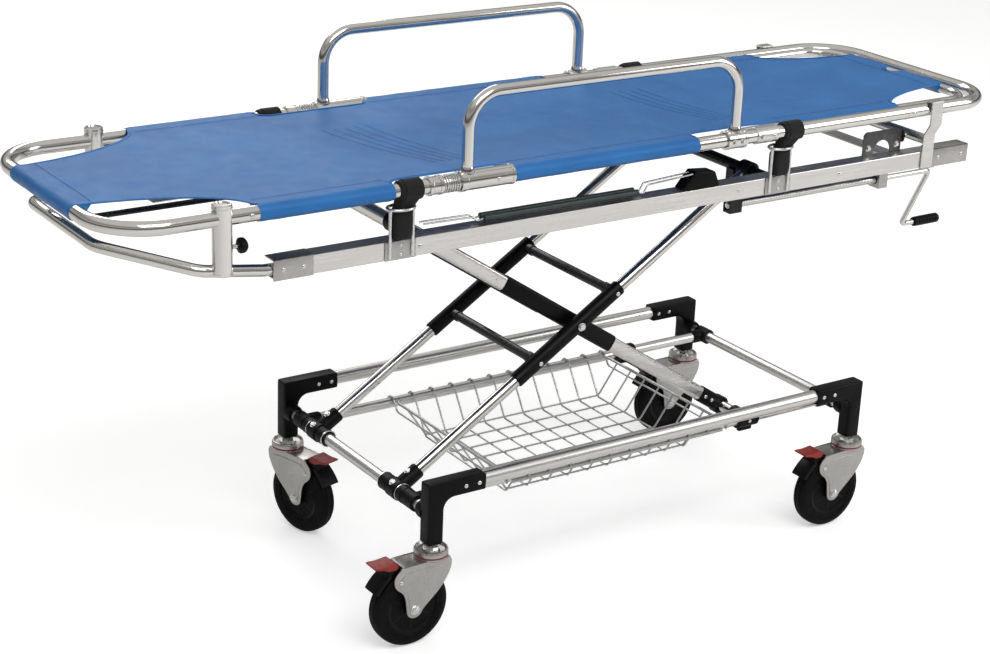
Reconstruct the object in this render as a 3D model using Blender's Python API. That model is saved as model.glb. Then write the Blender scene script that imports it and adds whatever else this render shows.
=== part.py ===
"""Crank-lift stretcher trolley: castered base, scissor lift, chassis and a sling stretcher.

Run with: blender --background --python part.py
Frame: metres, +Z up, +X towards the head end (the end with the crank) and floor at Z = 0. "left" is the
-Y side and "right" is the +Y side. The sizes below put X = Y = 0 under the middle of the bed; main() ends
by moving everything so that the origin is under the middle of the whole object's box.
"""

import math

import bmesh
import bpy
from mathutils import Matrix, Vector

# Clearance kept between two pieces that touch on the real object
GAP = 0.0004
SIDES = {"left": -1, "right": 1}

# Base
FOOT_X = -0.367
HEAD_X = 0.619
STEM_Y = 0.265
STEM_BOTTOM = 0.186
BASE_RAIL_Z = 0.288
BASE_RAIL_R = 0.013
CROSS_Z = 0.241
CROSS_R = 0.011
CASTING_ARM = 0.103
CASTING_SIZE = 0.031
INNER_RAIL_Y = 0.200
INNER_RAIL_R = 0.010
CASTING_FILLET = 0.022
CASTING_BEVEL = 0.003
BOSS_FROM = 0.010
BOSS_LONG = 0.017
BOSS_R = 0.016

# Basket
BASKET_X = (-0.170, 0.342)
BASKET_Y = 0.1875
BASKET_Z = (0.178, 0.2505)
BASKET_SLOPE = 0.045
BASKET_WALL = 0.003

# Casters
WHEEL_R = 0.075
WHEEL_W = 0.034
TRAIL = 0.045
FORK_INSIDE = 0.0205
FORK_PLATE = 0.003
HEAD_DISC_R = 0.031
KINGPIN_R = 0.006
KINGPIN_LONG = 0.030
KINGPIN_DROP = 0.018
BRIDGE_X = (-0.069, 0.029)
BRIDGE_Z = (0.1545, 0.1615)
HEAD_DISC_Z = 0.160
AXLE_R = 0.0055
AXLE_END = 0.0045
HUB_BORE = 0.0068
SWIVEL_ANGLES = {("foot", "right"): math.radians(105)}
AXLE = (-TRAIL, WHEEL_R)
PEDAL_PIVOT = (-0.076, 0.157)
SHOE_IN = WHEEL_R + 0.0075
SHOE_OUT = WHEEL_R + 0.0165

# Scissor lift
PIVOT_Z = 0.7355
SLIDER_X = 0.400
LEG_A_Y = 0.146
LEG_B_Y = 0.117
LEG_R = 0.011
LEG_B_WIDE = 0.030
LEG_B_THICK = 0.018
EYE_IN = 0.0118
EYE_OUT = 0.0185
EYE_LONG_A = 0.030
EYE_LONG_B = 0.022
BRACE_AT = (-0.105, 0.095)
BRACE_R = 0.009
ROD_R = 0.011
ROD_END_R = 0.0125
ROD_END_LONG = 0.028
NUT_HALF = (0.015, 0.011, 0.015)
FOOT_ROD_REACH = 0.188
RUNNER_LONG = 0.050
RUNNER_R = (0.0112, 0.0165)
LEG_RUN = Vector((SLIDER_X - FOOT_X, 0, PIVOT_Z - CROSS_Z))
LEG_A_DIR = LEG_RUN.normalized()
LEG_B_DIR = Vector((LEG_A_DIR.x, 0, -LEG_A_DIR.z))
LEG_LENGTH = LEG_RUN.length
CENTRE = Vector((FOOT_X, 0, CROSS_Z)) + LEG_RUN / 2
EYE_START = 0.0145

# Chassis
RAIL_X = (-0.668, 0.883)
RAIL_Y = 0.246
RAIL_DEEP = 0.034
RAIL_Z = (0.719, 0.752)
RAIL_WALL = 0.003
BUMPER_R = 0.010
BUMPER_BEND = 0.040
BUMPER_Z = 0.782
POST_X = -0.761
POST_R = 0.0165
POST_Z = (0.744, 0.862)
KNOB_R = 0.0135
KNOB_STEM = 0.0113
WING_KNOB_Z = 0.788
STAR_KNOB_Y = 0.196
RING_Z = 0.809
RING_HALF = (0.025, 0.017)
RING_WIRE_R = 0.0026
BRACKET_X = {"foot": -0.434, "head": 0.388}
PLATE_HALF = 0.030
PLATE_THICK = 0.002
BRACKET_ROD_AT = 0.022
BRACKET_ROD_R = 0.0028
SUPPORT_X = 0.771
SUPPORT_Z = 0.774
SUPPORT_HALF = 0.015
SUPPORT_BAR_R = 0.010
SCREW_Y = -0.112
SCREW_Z = 0.657
SCREW_R = 0.008
SCREW_X = (0.385, 0.800)
CRANK_X = 0.925
CRANK_ARM = 0.150
CRANK_LEAN = math.radians(25)
CRANK_ROD_R = 0.0055
CRANK_BEND = 0.012
GRIP_AT = 0.070
GRIP_LONG = 0.070
GRIP_R = (0.0066, 0.0105)

# Stretcher
POLE_Y = 0.246
POLE_Z = 0.838
POLE_R = 0.013
BED_HALF = 0.950
END_SPLIT = 0.700
END_CORNER = 0.100
GUARD_X = (-0.306, 0.273)
GUARD_TOP = 0.987
GUARD_R = 0.0105
GUARD_BEND = 0.060
SLEEVE_IN = 0.0141
SLEEVE_OUT = 0.0175
BACK_PIVOT_X = 0.322
BACK_END_X = 0.907
BACK_Y = 0.2205
BACK_R = 0.0095
BACK_CORNER = 0.062
COLLAR_X = -0.372
COLLAR_LONG = 0.026
COLLAR_R = 0.0168
JOINT_LONG = 0.050
JOINT_R = 0.0156
FOOT_CUT = (0.130, 0.115)
HEAD_CUT = (0.080, 0.070)
SHEET_TOP = 0.8515
SHEET_THICK = 0.006

FINISHES = {
    "chrome": ((0.80, 0.80, 0.82), 0.12, 1.0),
    "aluminium": ((0.72, 0.73, 0.74), 0.30, 1.0),
    "zinc": ((0.62, 0.64, 0.65), 0.38, 1.0),
    "black_plastic": ((0.012, 0.012, 0.013), 0.42, 0.0),
    "black_steel": ((0.015, 0.015, 0.017), 0.35, 0.0),
    "tyre": ((0.010, 0.010, 0.011), 0.62, 0.0),
    "wire": ((0.60, 0.61, 0.63), 0.30, 1.0),
    "blue_fabric": ((0.045, 0.18, 0.46), 0.42, 0.0),
    "red_plastic": ((0.45, 0.03, 0.02), 0.40, 0.0),
}


def clear_scene():
    for old in list(bpy.data.objects):
        bpy.data.objects.remove(old, do_unlink=True)


def finish(name):
    """The named material, made on first use."""
    if name in bpy.data.materials:
        return bpy.data.materials[name]
    colour, roughness, metallic = FINISHES[name]
    made = bpy.data.materials.new(name)
    made.use_nodes = True
    shader = made.node_tree.nodes["Principled BSDF"]
    shader.inputs["Base Color"].default_value = (*colour, 1.0)
    shader.inputs["Roughness"].default_value = roughness
    shader.inputs["Metallic"].default_value = metallic
    made.diffuse_color = (*colour, 1.0)
    return made


# ---------------------------------------------------------------- shapes, as bmeshes in world space


def rings_to_bmesh(rings, capped=True, looped=False):
    """Bridges rings of equal length; caps the ends, or joins the last ring to the first."""
    bm = bmesh.new()
    loops = [[bm.verts.new(point) for point in ring] for ring in rings]
    pairs = list(zip(loops, loops[1:]))
    if looped:
        pairs.append((loops[-1], loops[0]))
    for low, high in pairs:
        for i in range(len(low)):
            j = (i + 1) % len(low)
            bm.faces.new((low[i], low[j], high[j], high[i]))
    if capped and not looped:
        bm.faces.new(loops[0][::-1])
        bm.faces.new(loops[-1])
    bmesh.ops.recalc_face_normals(bm, faces=bm.faces)
    return bm


def rounded(points, radius, steps=5):
    """The polyline with each inner corner replaced by an arc; a right-angled corner gets `steps` segments."""
    path = [Vector(points[0])]
    for before, corner, after in zip(points, points[1:], points[2:]):
        corner = Vector(corner)
        back = (Vector(before) - corner).normalized()
        on = (Vector(after) - corner).normalized()
        half = back.angle(on) / 2
        reach = radius / math.tan(half)
        centre = corner + (back + on).normalized() * (radius / math.sin(half))
        start = corner + back * reach - centre
        axis = start.cross(corner + on * reach - centre)
        turn = math.pi - 2 * half
        count = max(1, round(steps * turn / (math.pi / 2)))
        for step in range(count + 1):
            path.append(centre + Matrix.Rotation(turn * step / count, 3, axis) @ start)
    path.append(Vector(points[-1]))
    return path


def tube(path, radius, sides=12, wide=None, wide_axis=None):
    """A rod swept along the path; `wide` stretches it to that half-width along wide_axis."""
    path = [Vector(point) for point in path]
    ahead = [(b - a).normalized() for a, b in zip(path, path[1:])]
    tangents = [ahead[0]] + [(a + b).normalized() for a, b in zip(ahead, ahead[1:])] + [ahead[-1]]
    side = Vector(wide_axis) if wide_axis else tangents[0].orthogonal()
    rings = []
    for point, tangent in zip(path, tangents):
        side = (side - tangent * side.dot(tangent)).normalized()
        up = tangent.cross(side)
        ring = []
        for i in range(sides):
            angle = 2 * math.pi * (i + 0.5) / sides
            across = math.cos(angle) * (wide or radius)
            ring.append(point + side * across + up * math.sin(angle) * radius)
        rings.append(ring)
    return rings_to_bmesh(rings)


def turned(profile, centre, axis, sides=12):
    """A solid of revolution from (distance along axis, radius) pairs, closed on the axis."""
    axis = Vector(axis).normalized()
    side = axis.orthogonal().normalized()
    up = axis.cross(side)
    rings = []
    for along, radius in profile:
        middle = Vector(centre) + axis * along
        angles = [2 * math.pi * (i + 0.5) / sides for i in range(sides)]
        rings.append([middle + (side * math.cos(a) + up * math.sin(a)) * radius for a in angles])
    return rings_to_bmesh(rings)


def sleeve(centre, axis, length, outer, inner, sides=12):
    """A plain ring with its middle at the centre."""
    axis = Vector(axis).normalized()
    side = axis.orthogonal().normalized()
    up = axis.cross(side)
    corners = [(-length / 2, outer), (length / 2, outer), (length / 2, inner), (-length / 2, inner)]
    rings = []
    for along, radius in corners:
        middle = Vector(centre) + axis * along
        angles = [2 * math.pi * (i + 0.5) / sides for i in range(sides)]
        rings.append([middle + (side * math.cos(a) + up * math.sin(a)) * radius for a in angles])
    return rings_to_bmesh(rings, looped=True)


def prism(outline, plane, low, high):
    """The outline, drawn in the XY, XZ or YZ plane, extruded from low to high along the third axis."""
    order = {"xy": (0, 1, 2), "xz": (0, 2, 1), "yz": (1, 2, 0)}[plane]

    def place(point, level):
        spot = [0.0, 0.0, 0.0]
        spot[order[0]], spot[order[1]], spot[order[2]] = point[0], point[1], level
        return Vector(spot)

    return rings_to_bmesh([[place(p, low) for p in outline], [place(p, high) for p in outline]])


def box(low, high):
    outline = [(low[0], low[1]), (high[0], low[1]), (high[0], high[1]), (low[0], high[1])]
    return prism(outline, "xy", low[2], high[2])


def arc(centre, radius, start, end, steps):
    """Points on a circle, angles in degrees."""
    points = []
    for step in range(steps + 1):
        angle = math.radians(start + (end - start) * step / steps)
        points.append((centre[0] + radius * math.cos(angle), centre[1] + radius * math.sin(angle)))
    return points


def ribbon(points, thickness):
    """The closed outline of a bent strip whose one face follows the points."""
    points = [Vector(point) for point in points]
    ahead = [(b - a).normalized() for a, b in zip(points, points[1:])]
    normals = [Vector((-d.y, d.x)) for d in ahead]
    offset = [points[0] + normals[0] * thickness]
    for point, first, second in zip(points[1:], normals, normals[1:]):
        middle = (first + second).normalized()
        offset.append(point + middle * thickness / middle.dot(first))
    offset.append(points[-1] + normals[-1] * thickness)
    return [tuple(p) for p in points] + [tuple(p) for p in reversed(offset)]


def chamfered(bm, width, segments=2):
    """The bmesh with its sharp edges bevelled."""
    sharp = [e for e in bm.edges if e.calc_face_angle(0.0) > math.radians(50)]
    bmesh.ops.bevel(bm, geom=sharp, offset=width, segments=segments, affect="EDGES", profile=0.5)
    return bm


# ---------------------------------------------------------------- objects


def to_mesh(bm, name):
    mesh = bpy.data.meshes.new(name)
    bm.to_mesh(mesh)
    bm.free()
    return mesh


def helper(bm):
    made = bpy.data.objects.new("helper", to_mesh(bm, "helper"))
    made.hide_render = True
    made.display_type = "WIRE"
    bpy.context.scene.collection.objects.link(made)
    return made


def combined(solids, cutters=()):
    """One mesh: the union of the solids, less the cutters."""
    helpers = [helper(bm) for bm in solids]
    knives = [helper(bm) for bm in cutters]
    base = helpers[0]
    for operation, others in (("UNION", helpers[1:]), ("DIFFERENCE", knives)):
        for other in others:
            boolean = base.modifiers.new("join", "BOOLEAN")
            boolean.operation = operation
            boolean.solver = "EXACT"
            boolean.object = other
    bpy.context.view_layer.update()
    graph = bpy.context.evaluated_depsgraph_get()
    mesh = bpy.data.meshes.new_from_object(base.evaluated_get(graph))
    for used in helpers + knives:
        bpy.data.objects.remove(used, do_unlink=True)
    return mesh


def node(name, shape, material, origin=(0, 0, 0), parent=None):
    """A sub-part. The shape is in world space; the origin is where the object's own origin goes."""
    mesh = shape if isinstance(shape, bpy.types.Mesh) else to_mesh(shape, name)
    mesh.name = name
    mesh.transform(Matrix.Translation(-Vector(origin)))
    mesh.materials.clear()
    mesh.materials.append(finish(material))
    mesh.shade_smooth()
    mesh.set_sharp_from_angle(angle=math.radians(35))
    return placed(name, mesh, origin, 0.0, parent)


def placed(name, mesh, origin, turn, parent=None):
    """An object of the mesh at the origin, turned about Z."""
    made = bpy.data.objects.new(name, mesh)
    made.location = origin
    made.rotation_euler = (0, 0, turn)
    bpy.context.scene.collection.objects.link(made)
    if parent:
        made.parent = parent
    return made


def pivot(name, spot, turn=0.0):
    """An empty on a joint's axis."""
    made = bpy.data.objects.new(name, None)
    made.empty_display_size = 0.05
    made.location = spot
    made.rotation_euler = (0, 0, turn)
    bpy.context.scene.collection.objects.link(made)
    return made


# ---------------------------------------------------------------- base


def casting(end, side):
    """Black corner: stem down to the caster, arm along the rail and a boss for the cross tube."""
    x = FOOT_X if end == "foot" else HEAD_X
    inward = 1 if end == "foot" else -1
    y = SIDES[side] * STEM_Y
    half = CASTING_SIZE / 2
    top = BASE_RAIL_Z + half
    low_arm = BASE_RAIL_Z - half
    outline = [(-half, STEM_BOTTOM), (half, STEM_BOTTOM), (half, low_arm - CASTING_FILLET)]
    outline += arc((half + CASTING_FILLET, low_arm - CASTING_FILLET), CASTING_FILLET, 180, 90, 4)[1:]
    outline += [(CASTING_ARM, low_arm), (CASTING_ARM, top), (-half, top)]
    outline = [(x + inward * across, z) for across, z in outline]
    body = chamfered(prism(outline, "xz", y - half, y + half), CASTING_BEVEL, 1)
    inner = y - SIDES[side] * BOSS_FROM
    boss = turned([(0, BOSS_R), (BOSS_LONG, BOSS_R)], (x, inner, CROSS_Z), (0, -SIDES[side], 0))
    pin_low = (x, y, STEM_BOTTOM - KINGPIN_DROP)
    pin = turned([(0, KINGPIN_R), (KINGPIN_LONG, KINGPIN_R)], pin_low, (0, 0, 1), 12)
    return combined([body, boss, pin])


def build_base():
    for side, sign in SIDES.items():
        y = sign * STEM_Y
        for end in ("foot", "head"):
            node(f"corner_casting_{end}_{side}", casting(end, side), "black_plastic")
        start = (FOOT_X + CASTING_ARM + GAP, y, BASE_RAIL_Z)
        stop = (HEAD_X - CASTING_ARM - GAP, y, BASE_RAIL_Z)
        node(f"base_rail_{side}", tube([start, stop], BASE_RAIL_R, 14), "aluminium")
        start = (FOOT_X + CROSS_R + GAP, sign * INNER_RAIL_Y, CROSS_Z)
        stop = (HEAD_X - CROSS_R - GAP, sign * INNER_RAIL_Y, CROSS_Z)
        node(f"inner_rail_{side}", tube([start, stop], INNER_RAIL_R, 12), "aluminium")
    reach = STEM_Y - BOSS_FROM - BOSS_LONG - GAP
    for end, x in (("foot", FOOT_X), ("head", HEAD_X)):
        ends = [(x, -reach, CROSS_Z), (x, reach, CROSS_Z)]
        node(f"cross_tube_{end}", tube(ends, CROSS_R, 16), "aluminium")
    build_basket()


def build_basket():
    """A tray with sloping sides, open at the top; it stands for a basket of welded wire."""
    def level(z, inset):
        x0, x1 = BASKET_X[0] + inset, BASKET_X[1] - inset
        y = BASKET_Y - inset
        return [Vector((x0, -y, z)), Vector((x1, -y, z)), Vector((x1, y, z)), Vector((x0, y, z))]

    floor_in = BASKET_Z[0] + BASKET_WALL
    rings = [
        level(floor_in, BASKET_SLOPE + BASKET_WALL),
        level(BASKET_Z[1], BASKET_WALL),
        level(BASKET_Z[1], 0.0),
        level(BASKET_Z[0], BASKET_SLOPE),
    ]
    node("basket", rings_to_bmesh(rings), "wire")


# ---------------------------------------------------------------- casters, with the stem's axis at X = Y = 0


def fork_mesh():
    """Pressed fork: swivel head, bridge plate, two cheeks and the axle."""
    outline = [(0.030, 0.163), (0.031, 0.140), (0.012, 0.105)]
    outline += arc(AXLE, 0.017, -20, -160, 4)
    outline += [(-0.058, 0.112), (-0.086, 0.128), (-0.088, 0.148), (-0.070, 0.163)]
    solids = []
    for sign in (-1, 1):
        low = sign * FORK_INSIDE
        high = sign * (FORK_INSIDE + FORK_PLATE)
        solids.append(prism(outline, "xz", min(low, high), max(low, high)))
    wide = FORK_INSIDE + FORK_PLATE / 2
    back, front = BRIDGE_X
    low, high = BRIDGE_Z
    bridge = [(front, low), (front, high), (back, high), (back, low)]
    solids.append(prism(bridge, "xz", -wide, wide))
    head = [(0, 0.024), (0.004, HEAD_DISC_R), (0.018, HEAD_DISC_R), (0.0255, 0.021)]
    solids.append(turned(head, (0, 0, HEAD_DISC_Z), (0, 0, 1), 14))
    reach = FORK_INSIDE + FORK_PLATE + AXLE_END
    axle = turned([(-reach, AXLE_R), (reach, AXLE_R)], (AXLE[0], 0, AXLE[1]), (0, 1, 0), 10)
    solids.append(axle)
    hole = turned([(-0.020, KINGPIN_R + 0.001), (0.03, KINGPIN_R + 0.001)], (0, 0, 0.185), (0, 0, 1), 12)
    return combined(solids, [hole])


def wheel_mesh():
    """Tyre and hub as one turned piece with a bore, its middle at the axle."""
    half = WHEEL_W / 2
    bore = HUB_BORE
    profile = [(-0.019, bore), (-0.019, 0.014), (-0.009, 0.018), (-half + 0.001, 0.050)]
    profile += [(-half + 0.001, 0.068), (-half + 0.008, WHEEL_R)]
    profile += [(-along, radius) for along, radius in reversed(profile)]
    side, up = Vector((1, 0, 0)), Vector((0, 0, 1))
    rings = []
    for along, radius in profile:
        angles = [2 * math.pi * i / 24 for i in range(24)]
        spot = Vector((AXLE[0], along, AXLE[1]))
        rings.append([spot + (side * math.cos(a) + up * math.sin(a)) * radius for a in angles])
    return rings_to_bmesh(rings, looped=True)


def pedal_mesh():
    """Brake pedal: a curved shoe over the tyre, a neck and the tread that a foot presses."""
    shoe = arc(AXLE, SHOE_OUT, 152, 122, 6) + arc(AXLE, SHOE_IN, 122, 152, 6)
    half = FORK_INSIDE - 0.002
    tread = [(-0.074, 0.166), (-0.082, 0.173), (-0.124, 0.171), (-0.124, 0.166), (-0.095, 0.158)]
    tread += [(-0.100, 0.146), (-0.090, 0.143), (-0.074, 0.152)]
    solids = [prism(shoe, "xz", -half, half), prism(tread, "xz", -half + 0.002, half - 0.002)]
    return combined(solids)


def build_casters():
    meshes = {"fork": fork_mesh(), "wheel": wheel_mesh(), "brake_pedal": pedal_mesh()}
    origins = {"fork": (0, 0, 0), "wheel": (AXLE[0], 0, AXLE[1])}
    origins["brake_pedal"] = (PEDAL_PIVOT[0], 0, PEDAL_PIVOT[1])
    colours = {"fork": "zinc", "wheel": "tyre", "brake_pedal": "red_plastic"}
    shared = {}
    for kind, shape in meshes.items():
        first = node(kind, shape, colours[kind], origins[kind])
        shared[kind] = first.data
        bpy.data.objects.remove(first, do_unlink=True)
    for end, x in (("foot", FOOT_X), ("head", HEAD_X)):
        for side, sign in SIDES.items():
            turn = SWIVEL_ANGLES.get((end, side), 0.0)
            swivel = pivot(f"swivel_{end}_{side}", (x, sign * STEM_Y, 0), turn)
            for kind, mesh in shared.items():
                placed(f"caster_{kind}_{end}_{side}", mesh, origins[kind], 0.0, swivel)


# ---------------------------------------------------------------- scissor lift


def leg(bottom, direction, y, eye_long, wide=None):
    """A leg with an eye round the cross rod at each end."""
    first = Vector((bottom[0], y, bottom[1]))
    last = first + direction * LEG_LENGTH
    ends = [first + direction * EYE_START, last - direction * EYE_START]
    radius = LEG_B_THICK / 2 if wide else LEG_R
    bar = tube(ends, radius, 12, wide, direction.cross(Vector((0, 1, 0))) if wide else None)
    eyes = [sleeve(spot, (0, 1, 0), eye_long, EYE_OUT, EYE_IN) for spot in (first, last)]
    return combined([bar] + eyes)


def build_legs():
    pivot_a = pivot("lift_axis", (FOOT_X, 0, CROSS_Z))
    pivot_b = pivot("scissor_axis", CENTRE)
    for side, sign in SIDES.items():
        shape = leg((FOOT_X, CROSS_Z), LEG_A_DIR, sign * LEG_A_Y, EYE_LONG_A)
        made = node(f"leg_outer_{side}", shape, "aluminium", (FOOT_X, 0, CROSS_Z))
        made.location = (0, 0, 0)
        made.parent = pivot_a
        shape = leg((FOOT_X, PIVOT_Z), LEG_B_DIR, sign * LEG_B_Y, EYE_LONG_B, LEG_B_WIDE / 2)
        made = node(f"leg_inner_{side}", shape, "aluminium", CENTRE)
        made.location = (0, 0, 0)
        made.parent = pivot_b
    reach = LEG_A_Y - LEG_R - GAP
    for name, along in zip(("lower", "upper"), BRACE_AT):
        spot = CENTRE + LEG_A_DIR * along
        ends = [spot + Vector((0, -reach, 0)), spot + Vector((0, reach, 0))]
        made = node(f"leg_brace_{name}", tube(ends, BRACE_R, 12), "black_steel", (FOOT_X, 0, CROSS_Z))
        made.location = (0, 0, 0)
        made.parent = pivot_a


def build_sliders():
    """The rods that run in the chassis rails and along the inner base rails."""
    inside = RAIL_Y - RAIL_WALL - GAP
    channel = inside - ROD_END_LONG
    profile = [(-inside, ROD_END_R), (-channel, ROD_END_R), (-channel + 0.0005, ROD_R)]
    profile += [(channel - 0.0005, ROD_R), (channel, ROD_END_R), (inside, ROD_END_R)]
    rod = turned(profile, (SLIDER_X, 0, PIVOT_Z), (0, 1, 0))
    half_x, half_y, half_z = NUT_HALF
    low = (SLIDER_X - half_x, SCREW_Y - half_y, SCREW_Z - half_z)
    nut = box(low, (SLIDER_X + half_x, SCREW_Y + half_y, PIVOT_Z - 0.004))
    bore = [(-0.03, SCREW_R + 0.0015), (0.03, SCREW_R + 0.0015)]
    bore = turned(bore, (SLIDER_X, SCREW_Y, SCREW_Z), (1, 0, 0))
    node("top_slider", combined([rod, nut], [bore]), "black_steel", (SLIDER_X, 0, PIVOT_Z))
    ends = [(SLIDER_X, sign * FOOT_ROD_REACH, CROSS_Z) for sign in (-1, 1)]
    solids = [tube(ends, ROD_R, 16)]
    for sign in SIDES.values():
        centre = (SLIDER_X, sign * INNER_RAIL_Y, CROSS_Z)
        solids.append(sleeve(centre, (1, 0, 0), RUNNER_LONG, RUNNER_R[1], RUNNER_R[0]))
    node("foot_slider", combined(solids), "black_plastic", (SLIDER_X, 0, CROSS_Z))


# ---------------------------------------------------------------- chassis


def chassis_rail(sign):
    """A channel that opens inwards."""
    out, inn = RAIL_Y, RAIL_Y - RAIL_DEEP
    low, high = RAIL_Z
    wall = RAIL_WALL
    outline = [(out, low), (out, high), (inn, high), (inn, high - wall), (out - wall, high - wall)]
    outline += [(out - wall, low + wall), (inn, low + wall), (inn, low)]
    return prism([(sign * y, z) for y, z in outline], "yz", *RAIL_X)


def bumper():
    """Low loop in front of the foot end, with the two posts that carry the stretcher."""
    y = RAIL_Y - RAIL_DEEP / 2 + 0.006
    z = 0.5 * sum(RAIL_Z)
    half = [(RAIL_X[0] - GAP, y, z), (RAIL_X[0] - 0.014, y, z), (POST_X - 0.035, y + 0.004, z + 0.018)]
    half += [(-0.925, 0.128, BUMPER_Z), (-0.938, 0.0, BUMPER_Z)]
    other = [(x, -y, z) for x, y, z in reversed(half[:-1])]
    solids = [tube(rounded(half[:-1] + other, BUMPER_BEND), BUMPER_R, 10)]
    cutters = []
    for sign in SIDES.values():
        spot = (POST_X, sign * POLE_Y, POST_Z[0])
        post = [(0, POST_R), (POST_Z[1] - POST_Z[0], POST_R)]
        solids.append(turned(post, spot, (0, 0, 1), 14))
        bore = [(-0.03, POLE_R + 0.0006), (0.03, POLE_R + 0.0006)]
        cutters.append(turned(bore, (POST_X, sign * POLE_Y, POLE_Z), (1, 0, 0), 12))
    return combined(solids, cutters)


def head_support():
    """Bent straps that hook over the poles at the head end, welded to a cross bar."""
    solids = []
    face = RAIL_Y + 0.0006
    outer = POLE_Y + POLE_R + 0.0015
    top = POLE_Z + POLE_R + 0.0015
    for sign in SIDES.values():
        path = [(face, RAIL_Z[0]), (face, SUPPORT_Z + 0.012), (outer, POLE_Z - 0.028), (outer, top)]
        path += [(POLE_Y - 0.004, top)]
        outline = ribbon([(sign * y, z) for y, z in path], -0.003 * sign)
        solids.append(prism(outline, "yz", SUPPORT_X - SUPPORT_HALF, SUPPORT_X + SUPPORT_HALF))
    reach = face + 0.002
    bar = tube([(SUPPORT_X, -reach, SUPPORT_Z), (SUPPORT_X, reach, SUPPORT_Z)], SUPPORT_BAR_R, 12)
    return combined([bar] + solids)


def strap_bracket(x, sign):
    """Plate on the rail's face, two rods and the oval ring that a strap passes through."""
    face = RAIL_Y + GAP
    near, far = sorted((sign * face, sign * (face + PLATE_THICK)))
    plate = box((x - PLATE_HALF, near, RAIL_Z[0]), (x + PLATE_HALF, far, RAIL_Z[1]))
    rod_y = sign * (face + 0.0035)
    solids = [plate]
    for across in (-BRACKET_ROD_AT, BRACKET_ROD_AT):
        ends = [(x + across, rod_y, RAIL_Z[0] + 0.006), (x + across, rod_y, RING_Z)]
        solids.append(tube(ends, BRACKET_ROD_R, 6))
    rings = []
    for step in range(16):
        turn = 2 * math.pi * step / 16
        along, across = RING_HALF[0] * math.cos(turn), RING_HALF[1] * math.sin(turn)
        middle = Vector((x + along, sign * POLE_Y + across, RING_Z))
        out = Vector((math.cos(turn) / RING_HALF[0], math.sin(turn) / RING_HALF[1], 0)).normalized()
        angles = [2 * math.pi * i / 6 for i in range(6)]
        up = Vector((0, 0, 1))
        ring = [middle + (out * math.cos(a) + up * math.sin(a)) * RING_WIRE_R for a in angles]
        rings.append(ring)
    solids.append(rings_to_bmesh(rings, looped=True))
    return combined(solids)


def build_chassis():
    for side, sign in SIDES.items():
        node(f"chassis_rail_{side}", chassis_rail(sign), "aluminium")
        for end, x in BRACKET_X.items():
            node(f"strap_bracket_{end}_{side}", strap_bracket(x, sign), "zinc")
    inside = RAIL_Y - RAIL_WALL - GAP
    ends = [(FOOT_X, -inside, PIVOT_Z), (FOOT_X, inside, PIVOT_Z)]
    node("pivot_tube", tube(ends, ROD_R, 16), "aluminium")
    node("foot_bumper", bumper(), "chrome")
    node("head_support", head_support(), "zinc")


def build_crank():
    """Lift screw with its crank, the bearing that holds it and the grip that turns on the crank."""
    y, z = SCREW_Y, SCREW_Z
    screw = turned([(SCREW_X[0], SCREW_R), (SCREW_X[1], SCREW_R)], (0, y, z), (1, 0, 0), 12)
    arm = Vector((0, math.sin(CRANK_LEAN), -math.cos(CRANK_LEAN))) * CRANK_ARM
    elbow = Vector((CRANK_X, y, z))
    low = elbow + arm
    path = rounded([(SCREW_X[1] - 0.010, y, z), elbow, low, low + Vector((0.106, 0, 0))], CRANK_BEND, 4)
    crank = combined([screw, tube(path, CRANK_ROD_R, 10)])
    axis = pivot("crank_axis", (CRANK_X, y, z))
    made = node("crank", crank, "chrome", (CRANK_X, y, z))
    made.location = (0, 0, 0)
    made.parent = axis
    middle = low + Vector((GRIP_AT, 0, 0))
    grip = sleeve(middle, (1, 0, 0), GRIP_LONG, GRIP_R[1], GRIP_R[0], 14)
    node("crank_grip", grip, "black_plastic", middle)
    node("crank_bearing", crank_bearing(), "zinc")


def crank_bearing():
    """A bridge between the rails, and the block under it that the screw turns in."""
    x0, x1 = SCREW_X[1] - 0.030, SCREW_X[1] - 0.006
    base = RAIL_Z[0] - GAP
    block = box((x0, SCREW_Y - 0.015, SCREW_Z - 0.016), (x1, SCREW_Y + 0.015, base - 0.002))
    bridge = box((x0 - 0.006, -RAIL_Y + 0.002, base - 0.004), (x1 + 0.006, RAIL_Y - 0.002, base))
    bore = [(-0.03, SCREW_R + 0.001), (0.03, SCREW_R + 0.001)]
    return combined([block, bridge], [turned(bore, (SCREW_X[1] - 0.018, SCREW_Y, SCREW_Z), (1, 0, 0))])


def knob_mesh(centre, axis, reach, lobes=6):
    """A lobed hand knob on its screw."""
    axis = Vector(axis).normalized()
    side = axis.orthogonal().normalized()
    up = axis.cross(side)
    rings = []
    for along, share in ((0.0, 0.55), (0.002, 0.92), (0.009, 1.0), (0.013, 0.80)):
        ring = []
        for i in range(lobes * 4):
            turn = 2 * math.pi * i / (lobes * 4)
            radius = KNOB_R * share * (1 + 0.13 * math.cos(lobes * turn))
            ring.append(centre + axis * along + (side * math.cos(turn) + up * math.sin(turn)) * radius)
        rings.append(ring)
    screw = turned([(-reach, 0.0035), (0.004, 0.0035)], centre, axis, 8)
    return combined([rings_to_bmesh(rings), screw])


def build_knobs():
    for side, sign in SIDES.items():
        spot = Vector((POST_X + POST_R + 0.012, sign * POLE_Y, WING_KNOB_Z))
        knob = knob_mesh(spot, (1, 0, 0), KNOB_STEM, 2)
        node(f"wing_knob_{side}", knob, "black_plastic", spot)
        spot = Vector((SUPPORT_X - SUPPORT_BAR_R - 0.012, sign * STAR_KNOB_Y, SUPPORT_Z))
        node(f"star_knob_{side}", knob_mesh(spot, (-1, 0, 0), KNOB_STEM), "black_plastic", spot)


# ---------------------------------------------------------------- stretcher


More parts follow.
